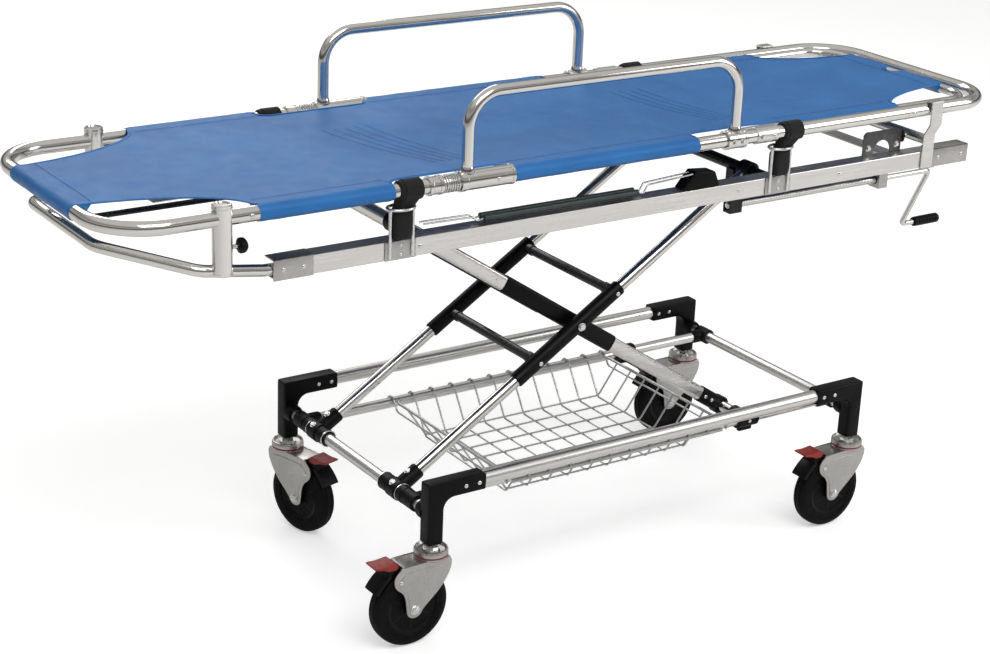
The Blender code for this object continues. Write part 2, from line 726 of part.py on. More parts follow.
def end_loop(sign_x):
    """U-shaped pole end; sign_x is -1 for the foot end."""
    x0 = sign_x * (END_SPLIT + GAP)
    x1 = sign_x * BED_HALF
    corners = [(x0, -POLE_Y, POLE_Z), (x1, -POLE_Y, POLE_Z), (x1, POLE_Y, POLE_Z), (x0, POLE_Y, POLE_Z)]
    return tube(rounded(corners, END_CORNER, 6), POLE_R, 12)


def guardrail(sign):
    """Side rail: a bent tube whose two feet are sleeves round the pole."""
    y = sign * POLE_Y
    foot = POLE_Z + 0.5 * (SLEEVE_IN + SLEEVE_OUT)
    corners = [(GUARD_X[0], y, foot), (GUARD_X[0], y, GUARD_TOP)]
    corners += [(GUARD_X[1], y, GUARD_TOP), (GUARD_X[1], y, foot)]
    solids = [tube(rounded(corners, GUARD_BEND, 5), GUARD_R, 10)]
    lengths = {GUARD_X[0]: (-0.018, 0.090), GUARD_X[1]: (-0.023, 0.022)}
    for x, (before, after) in lengths.items():
        middle = (x + (before + after) / 2, y, POLE_Z)
        solids.append(sleeve(middle, (1, 0, 0), after - before, SLEEVE_OUT, SLEEVE_IN))
    bores = []
    for x in GUARD_X:
        bores.append(turned([(-0.012, SLEEVE_IN), (0.012, SLEEVE_IN)], (x, y, POLE_Z), (1, 0, 0)))
    return combined(solids, bores)


def backrest_frame():
    """Inner U-shaped tube, with a pin at each end that turns in the side pole."""
    start = BACK_PIVOT_X - 0.012
    corners = [(start, -BACK_Y, POLE_Z), (BACK_END_X, -BACK_Y, POLE_Z)]
    corners += [(BACK_END_X, BACK_Y, POLE_Z), (start, BACK_Y, POLE_Z)]
    return tube(rounded(corners, BACK_CORNER, 5), BACK_R, 10)


def sheet(x0, x1, half_wide, corner):
    """A thin slab between the tubes; corner is (along, across) taken off at the free end x1."""
    inward = 1 if x1 > x0 else -1
    cut_x, cut_y = corner
    outline = [(x0, -half_wide), (x1 - inward * cut_x, -half_wide), (x1, -half_wide + cut_y)]
    outline += [(x1, half_wide - cut_y), (x1 - inward * cut_x, half_wide), (x0, half_wide)]
    return prism(outline, "xy", SHEET_TOP - SHEET_THICK, SHEET_TOP)


def build_stretcher():
    split = END_SPLIT
    for side, sign in SIDES.items():
        y = sign * POLE_Y
        ends = [(-split, y, POLE_Z), (split, y, POLE_Z)]
        node(f"side_pole_{side}", tube(ends, POLE_R, 16), "aluminium")
        rail = node(f"guardrail_{side}", guardrail(sign), "chrome", (GUARD_X[0], y, POLE_Z))
        rail.location = (0, 0, 0)
        rail.parent = pivot(f"guardrail_axis_{side}", (GUARD_X[0], y, POLE_Z))
        collar = sleeve((COLLAR_X, y, POLE_Z), (1, 0, 0), COLLAR_LONG, COLLAR_R, SLEEVE_IN)
        node(f"lock_collar_{side}", collar, "chrome", (COLLAR_X, y, POLE_Z))
        middle = (BACK_PIVOT_X + 0.023, y, POLE_Z)
        fitting = sleeve(middle, (1, 0, 0), JOINT_LONG, JOINT_R, SLEEVE_IN)
        node(f"pole_joint_{side}", fitting, "aluminium")
    node("pole_end_foot", end_loop(-1), "chrome")
    node("pole_end_head", end_loop(1), "chrome")
    axis = pivot("backrest_axis", (BACK_PIVOT_X, 0, POLE_Z))
    frame = node("backrest_frame", backrest_frame(), "aluminium", (BACK_PIVOT_X, 0, POLE_Z))
    frame.location = (0, 0, 0)
    frame.parent = axis
    foot_edge = -(BED_HALF - POLE_R - 0.002)
    head_edge = BACK_END_X - BACK_R - 0.002
    lower = sheet(BACK_PIVOT_X - 0.018, foot_edge, POLE_Y - SLEEVE_OUT - 0.001, FOOT_CUT)
    node("sheet_seat", lower, "blue_fabric")
    upper = sheet(BACK_PIVOT_X - 0.012, head_edge, BACK_Y - BACK_R - 0.001, HEAD_CUT)
    made = node("sheet_back", upper, "blue_fabric", (BACK_PIVOT_X, 0, POLE_Z))
    made.location = (0, 0, 0)
    made.parent = axis


def centre_on_box():
    """Moves everything so that the origin lies on the floor under the middle of the whole box."""
    bpy.context.view_layer.update()
    nodes = [made for made in bpy.data.objects if made.type == "MESH"]
    points = [made.matrix_world @ vertex.co for made in nodes for vertex in made.data.vertices]
    spans = [(min(p[axis] for p in points), max(p[axis] for p in points)) for axis in (0, 1)]
    shift = Vector([sum(span) / 2 for span in spans] + [0])
    for made in bpy.data.objects:
        if made.parent is None:
            made.location -= shift


def main():
    clear_scene()
    build_base()
    build_casters()
    build_legs()
    build_sliders()
    build_chassis()
    build_crank()
    build_knobs()
    build_stretcher()
    centre_on_box()


main()
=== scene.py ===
"""Looks of the crank-lift stretcher trolley: metres, +Z up, +X to the head end, "left" on the -Y side.

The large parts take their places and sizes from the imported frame. The small parts have theirs here, measured
from the floor under the middle of the bed.
"""

import math

import bmesh
import bpy
from mathutils import Matrix, Vector, noise


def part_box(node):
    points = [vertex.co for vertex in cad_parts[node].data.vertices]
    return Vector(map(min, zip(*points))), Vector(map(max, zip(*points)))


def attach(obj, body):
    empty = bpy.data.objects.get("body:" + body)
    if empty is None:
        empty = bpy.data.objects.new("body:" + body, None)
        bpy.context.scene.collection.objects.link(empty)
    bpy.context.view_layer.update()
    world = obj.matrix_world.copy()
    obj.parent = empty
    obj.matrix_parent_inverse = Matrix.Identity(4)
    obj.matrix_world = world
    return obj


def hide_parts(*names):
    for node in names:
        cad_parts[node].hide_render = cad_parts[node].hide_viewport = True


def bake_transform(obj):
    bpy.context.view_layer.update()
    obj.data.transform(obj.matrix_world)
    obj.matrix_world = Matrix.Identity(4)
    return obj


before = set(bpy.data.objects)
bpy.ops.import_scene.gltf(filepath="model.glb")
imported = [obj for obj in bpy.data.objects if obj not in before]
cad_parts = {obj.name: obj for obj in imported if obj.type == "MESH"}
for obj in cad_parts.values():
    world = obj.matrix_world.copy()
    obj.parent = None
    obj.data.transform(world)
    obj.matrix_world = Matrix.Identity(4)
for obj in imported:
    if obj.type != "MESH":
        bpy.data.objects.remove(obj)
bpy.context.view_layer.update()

SIDES = {"left": -1, "right": 1}
SIGNS = tuple(SIDES.values())
ENDS = ("foot", "head")
ALONG, ACROSS, UP = Vector((1, 0, 0)), Vector((0, 1, 0)), Vector((0, 0, 1))


def bed_middle():
    """The point on the floor under the middle of the bed; every place below is measured from it."""
    low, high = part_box("side_pole_left")[0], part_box("side_pole_right")[1]
    return Vector(((low.x + high.x) / 2, (low.y + high.y) / 2, 0))


ORIGIN = bed_middle()


def cad_box(node):
    """Low and high corner of a CAD node's box, measured from the middle of the bed."""
    low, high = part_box(node)
    return low - ORIGIN, high - ORIGIN


def middle(node):
    low, high = cad_box(node)
    return (low + high) / 2


def rod_radius(node):
    """Radius of a CAD rod; its sides are flat, so its true radius is a little more than half its height."""
    low, high = cad_box(node)
    return (high - low).z / 2 * 1.02


# Places and sizes from the frame
POLE_Y, POLE_Z = middle("side_pole_right").yz
POLE_R = rod_radius("side_pole_right")
POLE_END = cad_box("side_pole_right")[1].x
BED_END = cad_box("pole_end_head")[1].x - POLE_R
CROSS_X = {end: middle(f"cross_tube_{end}").x for end in ENDS}
FOOT_X, HEAD_X = CROSS_X["foot"], CROSS_X["head"]
INWARD = {"foot": 1, "head": -1}
CROSS_Z = middle("cross_tube_foot").z
CROSS_R = rod_radius("cross_tube_foot")
STEM_Y, BASE_RAIL_Z = middle("base_rail_right").yz
BASE_RAIL_R = rod_radius("base_rail_right")
CASTING_LOW, CASTING_HIGH = cad_box("corner_casting_foot_right")
CASTING_HALF = CASTING_HIGH.y - STEM_Y
CASTING_ARM = CASTING_HIGH.x - FOOT_X
INNER_Y = middle("inner_rail_right").y
INNER_R = rod_radius("inner_rail_right")
PIVOT_Z = middle("pivot_tube").z
SLIDER_X = middle("foot_slider").x
LEG_OUTER_Y = middle("leg_outer_right").y
LEG_INNER_Y = middle("leg_inner_right").y
RAIL_LOW, RAIL_HIGH = cad_box("chassis_rail_right")
RAIL_FACE = RAIL_HIGH.y
RAIL_MID_Z = (RAIL_LOW.z + RAIL_HIGH.z) / 2
GUARD_TOP = cad_box("guardrail_right")[1].z
BACK_LOW, BACK_HIGH = cad_box("backrest_frame")
BACK_R = rod_radius("backrest_frame")
BACK_Y = BACK_HIGH.y - BACK_R
BACK_END = BACK_HIGH.x - BACK_R

# The backrest's tube starts this far towards the foot from its hinge
BACK_OVERHANG = 0.012
BACK_PIVOT_X = BACK_LOW.x + BACK_OVERHANG


# ---------------------------------------------------------------- materials


# The two colour inputs and the colour output of a mix node, by number, as their names repeat
MIX_COLOUR_SOCKETS = (6, 7, 2)


class Nodes:
    """A node tree and short calls for the nodes in it."""

    def __init__(self, tree):
        self.tree = tree

    def plug(self, value, socket):
        """Links an output, or sets a plain value."""
        if isinstance(value, bpy.types.NodeSocket):
            self.tree.links.new(value, socket)
        else:
            socket.default_value = value

    def node(self, kind, output, inputs, **settings):
        """Adds a node, fills its inputs and gives back the output named; inputs go by name or number."""
        made = self.tree.nodes.new(kind)
        for key, value in settings.items():
            setattr(made, key, value)
        for key, value in inputs.items():
            self.plug(value, made.inputs[key])
        return made.outputs[output]

    def coordinates(self, kind):
        return self.node("ShaderNodeTexCoord", kind, {})

    def camera_ray(self):
        """1 where the camera sees the surface itself, 0 in reflections and for lighting."""
        return self.node("ShaderNodeLightPath", "Is Camera Ray", {})

    def height(self, vector):
        """The Z part of a vector."""
        return self.node("ShaderNodeSeparateXYZ", "Z", {"Vector": vector})

    def spread(self, value, low, high, start=0.3, stop=0.7):
        """Maps start..stop of the value onto low..high."""
        inputs = {"Value": value, "From Min": start, "From Max": stop, "To Min": low, "To Max": high}
        return self.node("ShaderNodeMapRange", "Result", inputs)

    def times(self, a, b):
        return self.node("ShaderNodeMath", "Value", {0: a, 1: b}, operation="MULTIPLY")

    def blend(self, share, a, b):
        """Colour a where share is 0, colour b where it is 1."""
        a, b = (colour if isinstance(colour, bpy.types.NodeSocket) else (*colour, 1.0) for colour in (a, b))
        first, second, result = MIX_COLOUR_SOCKETS
        return self.node("ShaderNodeMix", result, {"Factor": share, first: a, second: b}, data_type="RGBA")


class Recipe(Nodes):
    """A principled material and short calls for the textures that shape it."""

    def __init__(self, name, colour, roughness, metallic=0.0):
        self.material = bpy.data.materials.new(name)
        self.material.use_nodes = True
        super().__init__(self.material.node_tree)
        self.shader = self.tree.nodes["Principled BSDF"]
        self.where = self.coordinates("Object")
        self.set("Base Color", (*colour, 1.0))
        self.set("Roughness", roughness)
        self.set("Metallic", metallic)

    def set(self, name, value):
        self.plug(value, self.shader.inputs[name])

    def noise(self, scale, detail, stretch=(1, 1, 1)):
        """Noise in object space; stretch scales each axis of the coordinates."""
        where = self.node("ShaderNodeMapping", "Vector", {"Vector": self.where, "Scale": stretch})
        return self.node("ShaderNodeTexNoise", "Fac", {"Vector": where, "Scale": scale, "Detail": detail})

    def cells(self, scale):
        """A random brightness for each cell, as on galvanised steel."""
        colour = self.node("ShaderNodeTexVoronoi", "Color", {"Vector": self.where, "Scale": scale})
        return self.node("ShaderNodeRGBToBW", "Val", {"Color": colour})

    def waves(self, scale, axis, distortion=0.0):
        inputs = {"Vector": self.where, "Scale": scale, "Distortion": distortion}
        return self.node("ShaderNodeTexWave", "Fac", inputs, wave_type="BANDS", bands_direction=axis)

    def edges(self):
        """1 on worn convex edges, 0 elsewhere."""
        return self.spread(self.node("ShaderNodeNewGeometry", "Pointiness", {}), 0.0, 1.0, 0.53, 0.60)

    def facing_down(self):
        """1 on faces that look at the floor, 0 on the others."""
        normal = self.node("ShaderNodeNewGeometry", "Normal", {})
        return self.spread(self.height(normal), 1.0, 0.0, -0.9, -0.7)

    def bump(self, height, distance, strength):
        """Adds relief on top of any bump already there; distance is in metres."""
        inputs = {"Distance": distance, "Strength": strength, "Height": height}
        socket = self.shader.inputs["Normal"]
        if socket.is_linked:
            inputs["Normal"] = socket.links[0].from_socket
        self.plug(self.node("ShaderNodeBump", "Normal", inputs), socket)

    def colour(self, share, a, b):
        """Base colour a where share is 0, b where it is 1."""
        self.set("Base Color", self.blend(share, a, b))

    def tones(self, grain, a, b):
        """Base colour between a and b; grain is the scale and detail of the noise that mixes them."""
        self.colour(self.noise(*grain), a, b)

    def finish(self, grain, low, high):
        """Roughness between low and high, mixed by a noise of that scale and detail."""
        self.set("Roughness", self.spread(self.noise(*grain), low, high))

    def relief(self, grain, distance, strength):
        """Bump from a noise of that scale and detail."""
        self.bump(self.noise(*grain), distance, strength)


# Finishes made from three noises: plain colour, roughness and metallic; then the settings of tones, of
# finish and of relief
GRAINED = {
    "polished_tube": (
        ((0.88, 0.87, 0.86), 0.10, 1.0), ((6, 3), (0.80, 0.78, 0.755), (0.70, 0.68, 0.65)),
        ((14, 4), 0.07, 0.17), ((1100, 2), 0.00002, 0.12),
    ),
    "bright_zinc": (
        ((0.78, 0.79, 0.78), 0.22, 1.0), ((90, 3), (0.84, 0.84, 0.82), (0.62, 0.63, 0.62)),
        ((160, 3), 0.16, 0.34), ((800, 2), 0.00003, 0.12),
    ),
    "galvanised_wire": (
        ((0.34, 0.34, 0.33), 0.38, 0.85), ((60, 3), (0.60, 0.60, 0.59), (0.42, 0.42, 0.41)),
        ((120, 3), 0.30, 0.48), ((500, 2), 0.00003, 0.12),
    ),
    "dark_steel": (
        ((0.12, 0.12, 0.12), 0.42, 0.8), ((40, 4), (0.14, 0.14, 0.14), (0.07, 0.07, 0.075)),
        ((80, 3), 0.34, 0.50), ((420, 3), 0.00004, 0.15),
    ),
    "red_moulding": (
        ((0.42, 0.03, 0.02), 0.4, 0.0), ((60, 4), (0.34, 0.020, 0.013), (0.20, 0.012, 0.008)),
        ((90, 3), 0.32, 0.5), ((600, 2), 0.00006, 0.5),
    ),
}


def grained(name):
    plain, tones, finish, relief = GRAINED[name]
    made = Recipe(name, *plain)
    made.tones(*tones)
    made.finish(*finish)
    made.relief(*relief)
    return made.material


def satin():
    """Anodised extrusion with fine lines drawn along its length."""
    made = Recipe("satin_aluminium", (0.80, 0.78, 0.76), 0.3, 1.0)
    lines = made.noise(260, 3, (0.02, 1, 1))
    made.set("Roughness", made.spread(lines, 0.24, 0.38))
    tone = made.blend(made.noise(5, 4), (0.78, 0.76, 0.74), (0.70, 0.68, 0.66))
    made.colour(made.spread(lines, 0, 0.10), tone, (0.62, 0.61, 0.59))
    made.bump(lines, 0.00002, 0.05)
    return made.material


def zinc():
    """Plated pressed steel with a faint spangle."""
    made = Recipe("zinc_plate", (0.62, 0.64, 0.62), 0.4, 1.0)
    spangle = made.cells(190)
    tone = made.blend(spangle, (0.47, 0.455, 0.44), (0.56, 0.545, 0.53))
    made.colour(made.spread(made.noise(30, 4), 0, 0.4), tone, (0.38, 0.37, 0.355))
    made.set("Roughness", made.spread(spangle, 0.27, 0.42, 0.1, 0.9))
    made.relief((420, 3), 0.00004, 0.15)
    return made.material


def black_plastic():
    """Moulded nylon: a fine grain, scuffed paler on its edges."""
    made = Recipe("black_nylon", (0.012, 0.012, 0.013), 0.4)
    worn = made.times(made.edges(), made.spread(made.noise(60, 3), 0.1, 0.8))
    made.colour(worn, (0.0025, 0.0025, 0.003), (0.018, 0.018, 0.019))
    made.set("Specular IOR Level", 0.12)
    made.finish((35, 4), 0.30, 0.46)
    made.relief((900, 2), 0.00006, 0.5)
    made.relief((45, 3), 0.0003, 0.25)
    return made.material


def black_paint():
    """Glossy stoved enamel on tube, with a slight orange peel."""
    made = Recipe("black_enamel", (0.010, 0.010, 0.012), 0.22)
    made.finish((50, 3), 0.17, 0.34)
    made.colour(made.edges(), (0.003, 0.003, 0.004), (0.03, 0.03, 0.03))
    made.set("Specular IOR Level", 0.30)
    made.relief((260, 2), 0.00002, 0.05)
    return made.material


def rubber():
    """Tyre rubber: dull, dusty in patches, with a fine tooth."""
    made = Recipe("tyre_rubber", (0.012, 0.012, 0.012), 0.6)
    dust = made.spread(made.noise(45, 5), 0.0, 0.6)
    made.colour(dust, (0.0018, 0.0018, 0.002), (0.008, 0.0077, 0.0075))
    made.set("Specular IOR Level", 0.12)
    made.finish((120, 3), 0.48, 0.68)
    made.relief((700, 3), 0.00012, 0.6)
    return made.material


def webbing():
    """Black woven strap: ribs across it and a slight sheen."""
    made = Recipe("black_webbing", (0.012, 0.012, 0.014), 0.7)
    ribs = made.times(made.waves(210, "X"), made.waves(170, "Z"))
    made.colour(ribs, (0.003, 0.003, 0.0035), (0.014, 0.014, 0.016))
    made.set("Specular IOR Level", 0.25)
    made.set("Sheen Weight", 0.08)
    made.bump(ribs, 0.0004, 0.8)
    return made.material


def spring_sleeve():
    """Dark green-black covering of the tension springs."""
    made = Recipe("spring_cover", (0.02, 0.03, 0.027), 0.35)
    made.tones((70, 3), (0.014, 0.024, 0.022), (0.04, 0.055, 0.05))
    made.finish((120, 3), 0.28, 0.46)
    made.bump(made.waves(160, "X"), 0.0003, 0.5)
    return made.material


FABRIC_DEEP = (0.006, 0.125, 0.400)
FABRIC_LIGHT = (0.012, 0.170, 0.490)
FABRIC_WEAVE = (0.018, 0.20, 0.53)
# Painted shade: the dark blue given to every face of the sheet that looks down at the floor
FABRIC_PAINTED_SHADE = (0.004, 0.030, 0.090)


def fabric():
    """Blue PVC-coated sheet: the cloth's weave shows through a satin coating with shallow creases, and a much
    darker blue is painted as shade on the faces that look down.
    """
    made = Recipe("coated_fabric", FABRIC_LIGHT, 0.42)
    cloudy = made.spread(made.noise(9, 5), 0.0, 1.0)
    weave = made.times(made.waves(330, "X", 0.3), made.waves(330, "Y", 0.3))
    tone = made.blend(cloudy, FABRIC_DEEP, FABRIC_LIGHT)
    top = made.blend(made.times(weave, 0.35), tone, FABRIC_WEAVE)
    # Painted shade: faces that look down, such as the sheet's underside and the lower halves of the hems, get
    # the dark blue
    made.colour(made.facing_down(), top, FABRIC_PAINTED_SHADE)
    made.finish((26, 5), 0.34, 0.50)
    made.set("Sheen Weight", 0.04)
    made.set("Specular IOR Level", 0.40)
    made.bump(weave, 0.00022, 0.55)
    made.relief((16, 3, (1, 0.5, 1)), 0.0035, 0.35)
    made.relief((70, 3), 0.0006, 0.3)
    return made.material


def thread():
    made = Recipe("stitching", (0.012, 0.095, 0.33), 0.6)
    made.tones((200, 2), (0.010, 0.085, 0.30), (0.02, 0.14, 0.42))
    made.relief((1500, 2), 0.0002, 0.8)
    return made.material


# Each material, with the name of the slot that it fills
MATERIALS = {
    "polished": (grained("polished_tube"), "chrome"),
    "satin": (satin(), "aluminium"),
    "zinc": (zinc(), "zinc"),
    "bright_zinc": (grained("bright_zinc"), "zinc"),
    "black_plastic": (black_plastic(), "black_plastic"),
    "black_paint": (black_paint(), "black_steel"),
    "rubber": (rubber(), "tyre"),
    "red_plastic": (grained("red_moulding"), "red_plastic"),
    "webbing": (webbing(), "black_plastic"),
    "spring_sleeve": (spring_sleeve(), "black_steel"),
    "fabric": (fabric(), "fabric"),
    "thread": (thread(), "fabric"),
    "wire": (grained("galvanised_wire"), "wire"),
    "dark_steel": (grained("dark_steel"), "black_steel"),
}


# ---------------------------------------------------------------- shapes, as bmeshes


def basis(axis):
    """The axis with a length of one, and two directions square to it."""
    axis = Vector(axis).normalized()
    side = axis.orthogonal().normalized()
    return axis, side, axis.cross(side)


def angles(steps, offset=0.0):
    """Angles that share out a full turn."""
    return [2 * math.pi * (i + offset) / steps for i in range(steps)]


def bridged(rings, looped=False):
    """Joins rings of equal length, then caps the ends or joins the last ring to the first."""
    bm = bmesh.new()
    loops = [[bm.verts.new(point) for point in ring] for ring in rings]
    pairs = list(zip(loops, loops[1:]))
    if looped:
        pairs.append((loops[-1], loops[0]))
    for low, high in pairs:
        for i in range(len(low)):
            j = (i + 1) % len(low)
            bm.faces.new((low[i], low[j], high[j], high[i]))
    if not looped:
        bm.faces.new(loops[0][::-1])
        bm.faces.new(loops[-1])
    bmesh.ops.recalc_face_normals(bm, faces=bm.faces)
    return bm


def rounded(points, radius, steps=10):
    """The polyline with each inner corner replaced by an arc; a right-angled corner gets `steps` segments."""
    path = [Vector(points[0])]
    for before, corner, after in zip(points, points[1:], points[2:]):
        corner = Vector(corner)
        back = (Vector(before) - corner).normalized()
        on = (Vector(after) - corner).normalized()
        half = back.angle(on) / 2
        if half > math.radians(89.5):
            path.append(corner)
            continue
        reach = radius / math.tan(half)
        centre = corner + (back + on).normalized() * (radius / math.sin(half))
        start = corner + back * reach - centre
        axis = start.cross(corner + on * reach - centre)
        turn = math.pi - 2 * half
        count = max(2, round(steps * turn / (math.pi / 2)))
        for step in range(count + 1):
            path.append(centre + Matrix.Rotation(turn * step / count, 3, axis) @ start)
    path.append(Vector(points[-1]))
    return path


def tube(path, radius, sides=28, looped=False, wide=None, wide_axis=None):
    """A rod swept along the path; `wide` stretches it to that half-width along wide_axis."""
    path = [Vector(point) for point in path]
    count = len(path)
    tangents = []
    for i in range(count):
        before = path[i - 1] if (i or looped) else path[i]
        after = path[(i + 1) % count] if (i < count - 1 or looped) else path[i]
        tangents.append((after - before).normalized())
    side = Vector(wide_axis) if wide_axis else tangents[0].orthogonal()
    rings = []
    for point, tangent in zip(path, tangents):
        side = (side - tangent * side.dot(tangent)).normalized()
        up = tangent.cross(side)
        ring = []
        for angle in angles(sides):
            across = side * math.cos(angle) * (wide or radius)
            ring.append(point + across + up * math.sin(angle) * radius)
        rings.append(ring)
    return bridged(rings, looped)


def turned(profile, centre, axis, sides=40):
    """A solid of revolution from (distance along axis, radius) pairs, closed on the axis."""
    axis, side, up = basis(axis)
    rings = []
    for along, radius in profile:
        spot = Vector(centre) + axis * along
        reach = max(radius, 1e-5)
        rings.append([spot + (side * math.cos(a) + up * math.sin(a)) * reach for a in angles(sides, 0.5)])
    return bridged(rings)


def collar(centre, axis, length, outer, inner, sides=40, edge=0.0008):
    """A ring round a tube, its outer edges broken."""
    half = length / 2
    profile = [(-half, inner), (-half, outer - edge), (-half + edge, outer)]
    profile += [(half - edge, outer), (half, outer - edge), (half, inner)]
    axis, side, up = basis(axis)
    rings = []
    for angle in angles(sides):
        out = side * math.cos(angle) + up * math.sin(angle)
        rings.append([Vector(centre) + axis * along + out * radius for along, radius in profile])
    return bridged(rings, looped=True)


def prism(outline, plane, low, high):
    """The outline pushed between low and high: along Z for the plane "xy", along Y for "xz"."""
    if plane == "xy":
        return bridged([[Vector((a, b, level)) for a, b in outline] for level in (low, high)])
    return bridged([[Vector((a, level, b)) for a, b in outline] for level in (low, high)])


def slab(outline, sign, near, far, edge, segments=3, sharp=30):
    """An XZ outline pushed from near to far on one side of the middle, its edges rounded."""
    low, high = sorted((sign * near, sign * far))
    return softened(prism(outline, "xz", low, high), edge, segments, sharp)


def box(low, high):
    low, high = Vector(low), Vector(high)
    outline = [(low.x, low.y), (high.x, low.y), (high.x, high.y), (low.x, high.y)]
    return prism(outline, "xy", low.z, high.z)


def softened(shape, width, segments=3, angle=30):
    """The shape with its sharp edges rounded."""
    sharp = [e for e in shape.edges if len(e.link_faces) == 2 and e.calc_face_angle() > math.radians(angle)]
    bmesh.ops.bevel(
        shape, geom=sharp, offset=width, segments=segments, profile=0.6, affect="EDGES", clamp_overlap=True
    )
    return shape


def arc(centre, radius, start, stop, steps):
    """Points of an arc; the angles are in degrees."""
    points = []
    for step in range(steps + 1):
        angle = math.radians(start + (stop - start) * step / steps)
        points.append((centre[0] + radius * math.cos(angle), centre[1] + radius * math.sin(angle)))
    return points


def dome(centre, axis, radius, height):
    """Head of a rivet or of a button bolt, standing on the plane through its centre."""
    profile = [(-0.001, radius * 0.98)]
    for step in range(6):
        angle = math.radians(18 * step)
        profile.append((height * math.sin(angle), radius * math.cos(angle)))
    return turned(profile, centre, axis, 20)


def rivets(spots, axis, radius=0.0042, height=0.0022):
    return [dome(spot, axis, radius, height) for spot in spots]


# Size across the flats and height of the commonest bolt head
SMALL_BOLT = (0.0085, 0.0035)


def hexagon(centre, axis, across, height):
    """A hexagon nut or bolt head with a washer under it."""
    radius = across / math.sqrt(3)
    profile = [(0.0, radius * 0.94), (0.0006, radius), (height, radius), (height + 0.0007, radius * 0.86)]
    washer = [(-0.0006, radius * 1.25), (0.0006, radius * 1.25)]
    return merged([turned(profile, centre, axis, 6), turned(washer, centre, axis, 28)])


def coil(start, stop, radius, wire, turns, steps=18):
    """A helix round the line from start to stop."""
    start, stop = Vector(start), Vector(stop)
    side, up = basis(stop - start)[1:]
    path = []
    for step in range(int(turns * steps) + 1):
        share = step / (turns * steps)
        angle = 2 * math.pi * turns * share
        path.append(start.lerp(stop, share) + (side * math.cos(angle) + up * math.sin(angle)) * radius)
    return tube(path, wire, 8)


def merged(shapes):
    """One bmesh holding all the shapes."""
    whole = bmesh.new()
    for shape in shapes:
        mesh = bpy.data.meshes.new("merging")
        shape.to_mesh(mesh)
        shape.free()
        whole.from_mesh(mesh)
        bpy.data.meshes.remove(mesh)
    return whole


def mesh_of(name, shapes, material, crease=38):
    """A smooth-shaded mesh; edges sharper than the crease angle, in degrees, stay sharp."""
    whole = merged(shapes)
    mesh = bpy.data.meshes.new(name)
    whole.to_mesh(mesh)
    whole.free()
    mesh.materials.append(MATERIALS[material][0])
    mesh.shade_smooth()
    mesh.set_sharp_from_angle(angle=math.radians(crease))
    return mesh


def show(name, mesh, matrix=None):
    made = bpy.data.objects.new(name, mesh)
    bpy.context.scene.collection.objects.link(made)
    made.matrix_world = Matrix.Translation(ORIGIN) @ (matrix or Matrix())
    return made


def piece(name, body, material, shapes, stands_for=(), crease=38):
    """A finished piece that rides on the body and stands for the CAD nodes named."""
    made = show(name, mesh_of(name, shapes, material, crease))
    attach(made, body)
    if stands_for:
        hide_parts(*stands_for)
    return made


def dress(node, material, edge):
    """Keeps a CAD node's shape: rounds its edges and gives it a finish."""
    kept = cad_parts[node]
    kept.data.materials.clear()
    kept.data.materials.append(MATERIALS[material][0])
    weld = kept.modifiers.new("joined", "WELD")
    weld.merge_threshold = 0.00002
    bevel = kept.modifiers.new("edges", "BEVEL")
    bevel.width = edge
    bevel.segments = 2
    bevel.limit_method = "ANGLE"
    bevel.angle_limit = math.radians(40)
    normals = kept.modifiers.new("shading", "WEIGHTED_NORMAL")
    normals.keep_sharp = True


def rod(name, body, material, ends, radius, node, sides=32):
    """A straight tube that stands for one CAD node."""
    piece(name, body, material, [tube(ends, radius, sides)], [node])


# ---------------------------------------------------------------- base

# The visible stem stops at the king nut; the CAD one reaches into the swivel head
STEM_BOTTOM = CASTING_LOW.z + 0.018
CASTING_FILLET = 0.022
# Boss for the cross tube and socket of the inner rail, as (distance, radius)
BOSS = ((0, 0.0175), (0.014, 0.0175), (0.020, 0.0160), (0.0205, 0.0120))
RAIL_SOCKET = ((0.008, 0.0135), (0.030, 0.0135), (0.034, 0.0122))
RAIL_TUCK = 0.006
CASTING_RIVETS = (0.060, 0.088)
# Spacers on either side of each leg's clamp, as distances from the middle
CLAMP_SPACERS = ((0.104, 0.129), (0.163, 0.181))


def corner(end, sign):
    """Rounded casting: a square stem, an arm that holds the rail and a boss for the cross tube."""
    x, inward, y = CROSS_X[end], INWARD[end], sign * STEM_Y
    half, fillet = CASTING_HALF, CASTING_FILLET
    top, low_arm = BASE_RAIL_Z + half, BASE_RAIL_Z - half
    outline = [(-half, STEM_BOTTOM), (half, STEM_BOTTOM)]
    outline += arc((half + fillet, low_arm - fillet), fillet, 180, 90, 8)
    outline += [(CASTING_ARM, low_arm), (CASTING_ARM, top), (-half, top)]
    outline = [(x + inward * across, z) for across, z in outline]
    body = softened(prism(outline, "xz", y - half, y + half), 0.0045)
    boss = turned(BOSS, (x, y - sign * half * 0.8, CROSS_Z), (0, -sign, 0))
    lip_at = (x + inward * (CASTING_ARM - 0.004), y, BASE_RAIL_Z)
    return [body, boss, collar(lip_at, ALONG, 0.006, half * 1.01, half * 0.8)]


def lower_joint(end, sign):
    """Elbow that joins the lower inner rail to the cross tube."""
    spot = (CROSS_X[end], sign * INNER_Y, CROSS_Z)
    return [collar(spot, ACROSS, 0.034, 0.0160, CROSS_R), turned(RAIL_SOCKET, spot, (INWARD[end], 0, 0))]


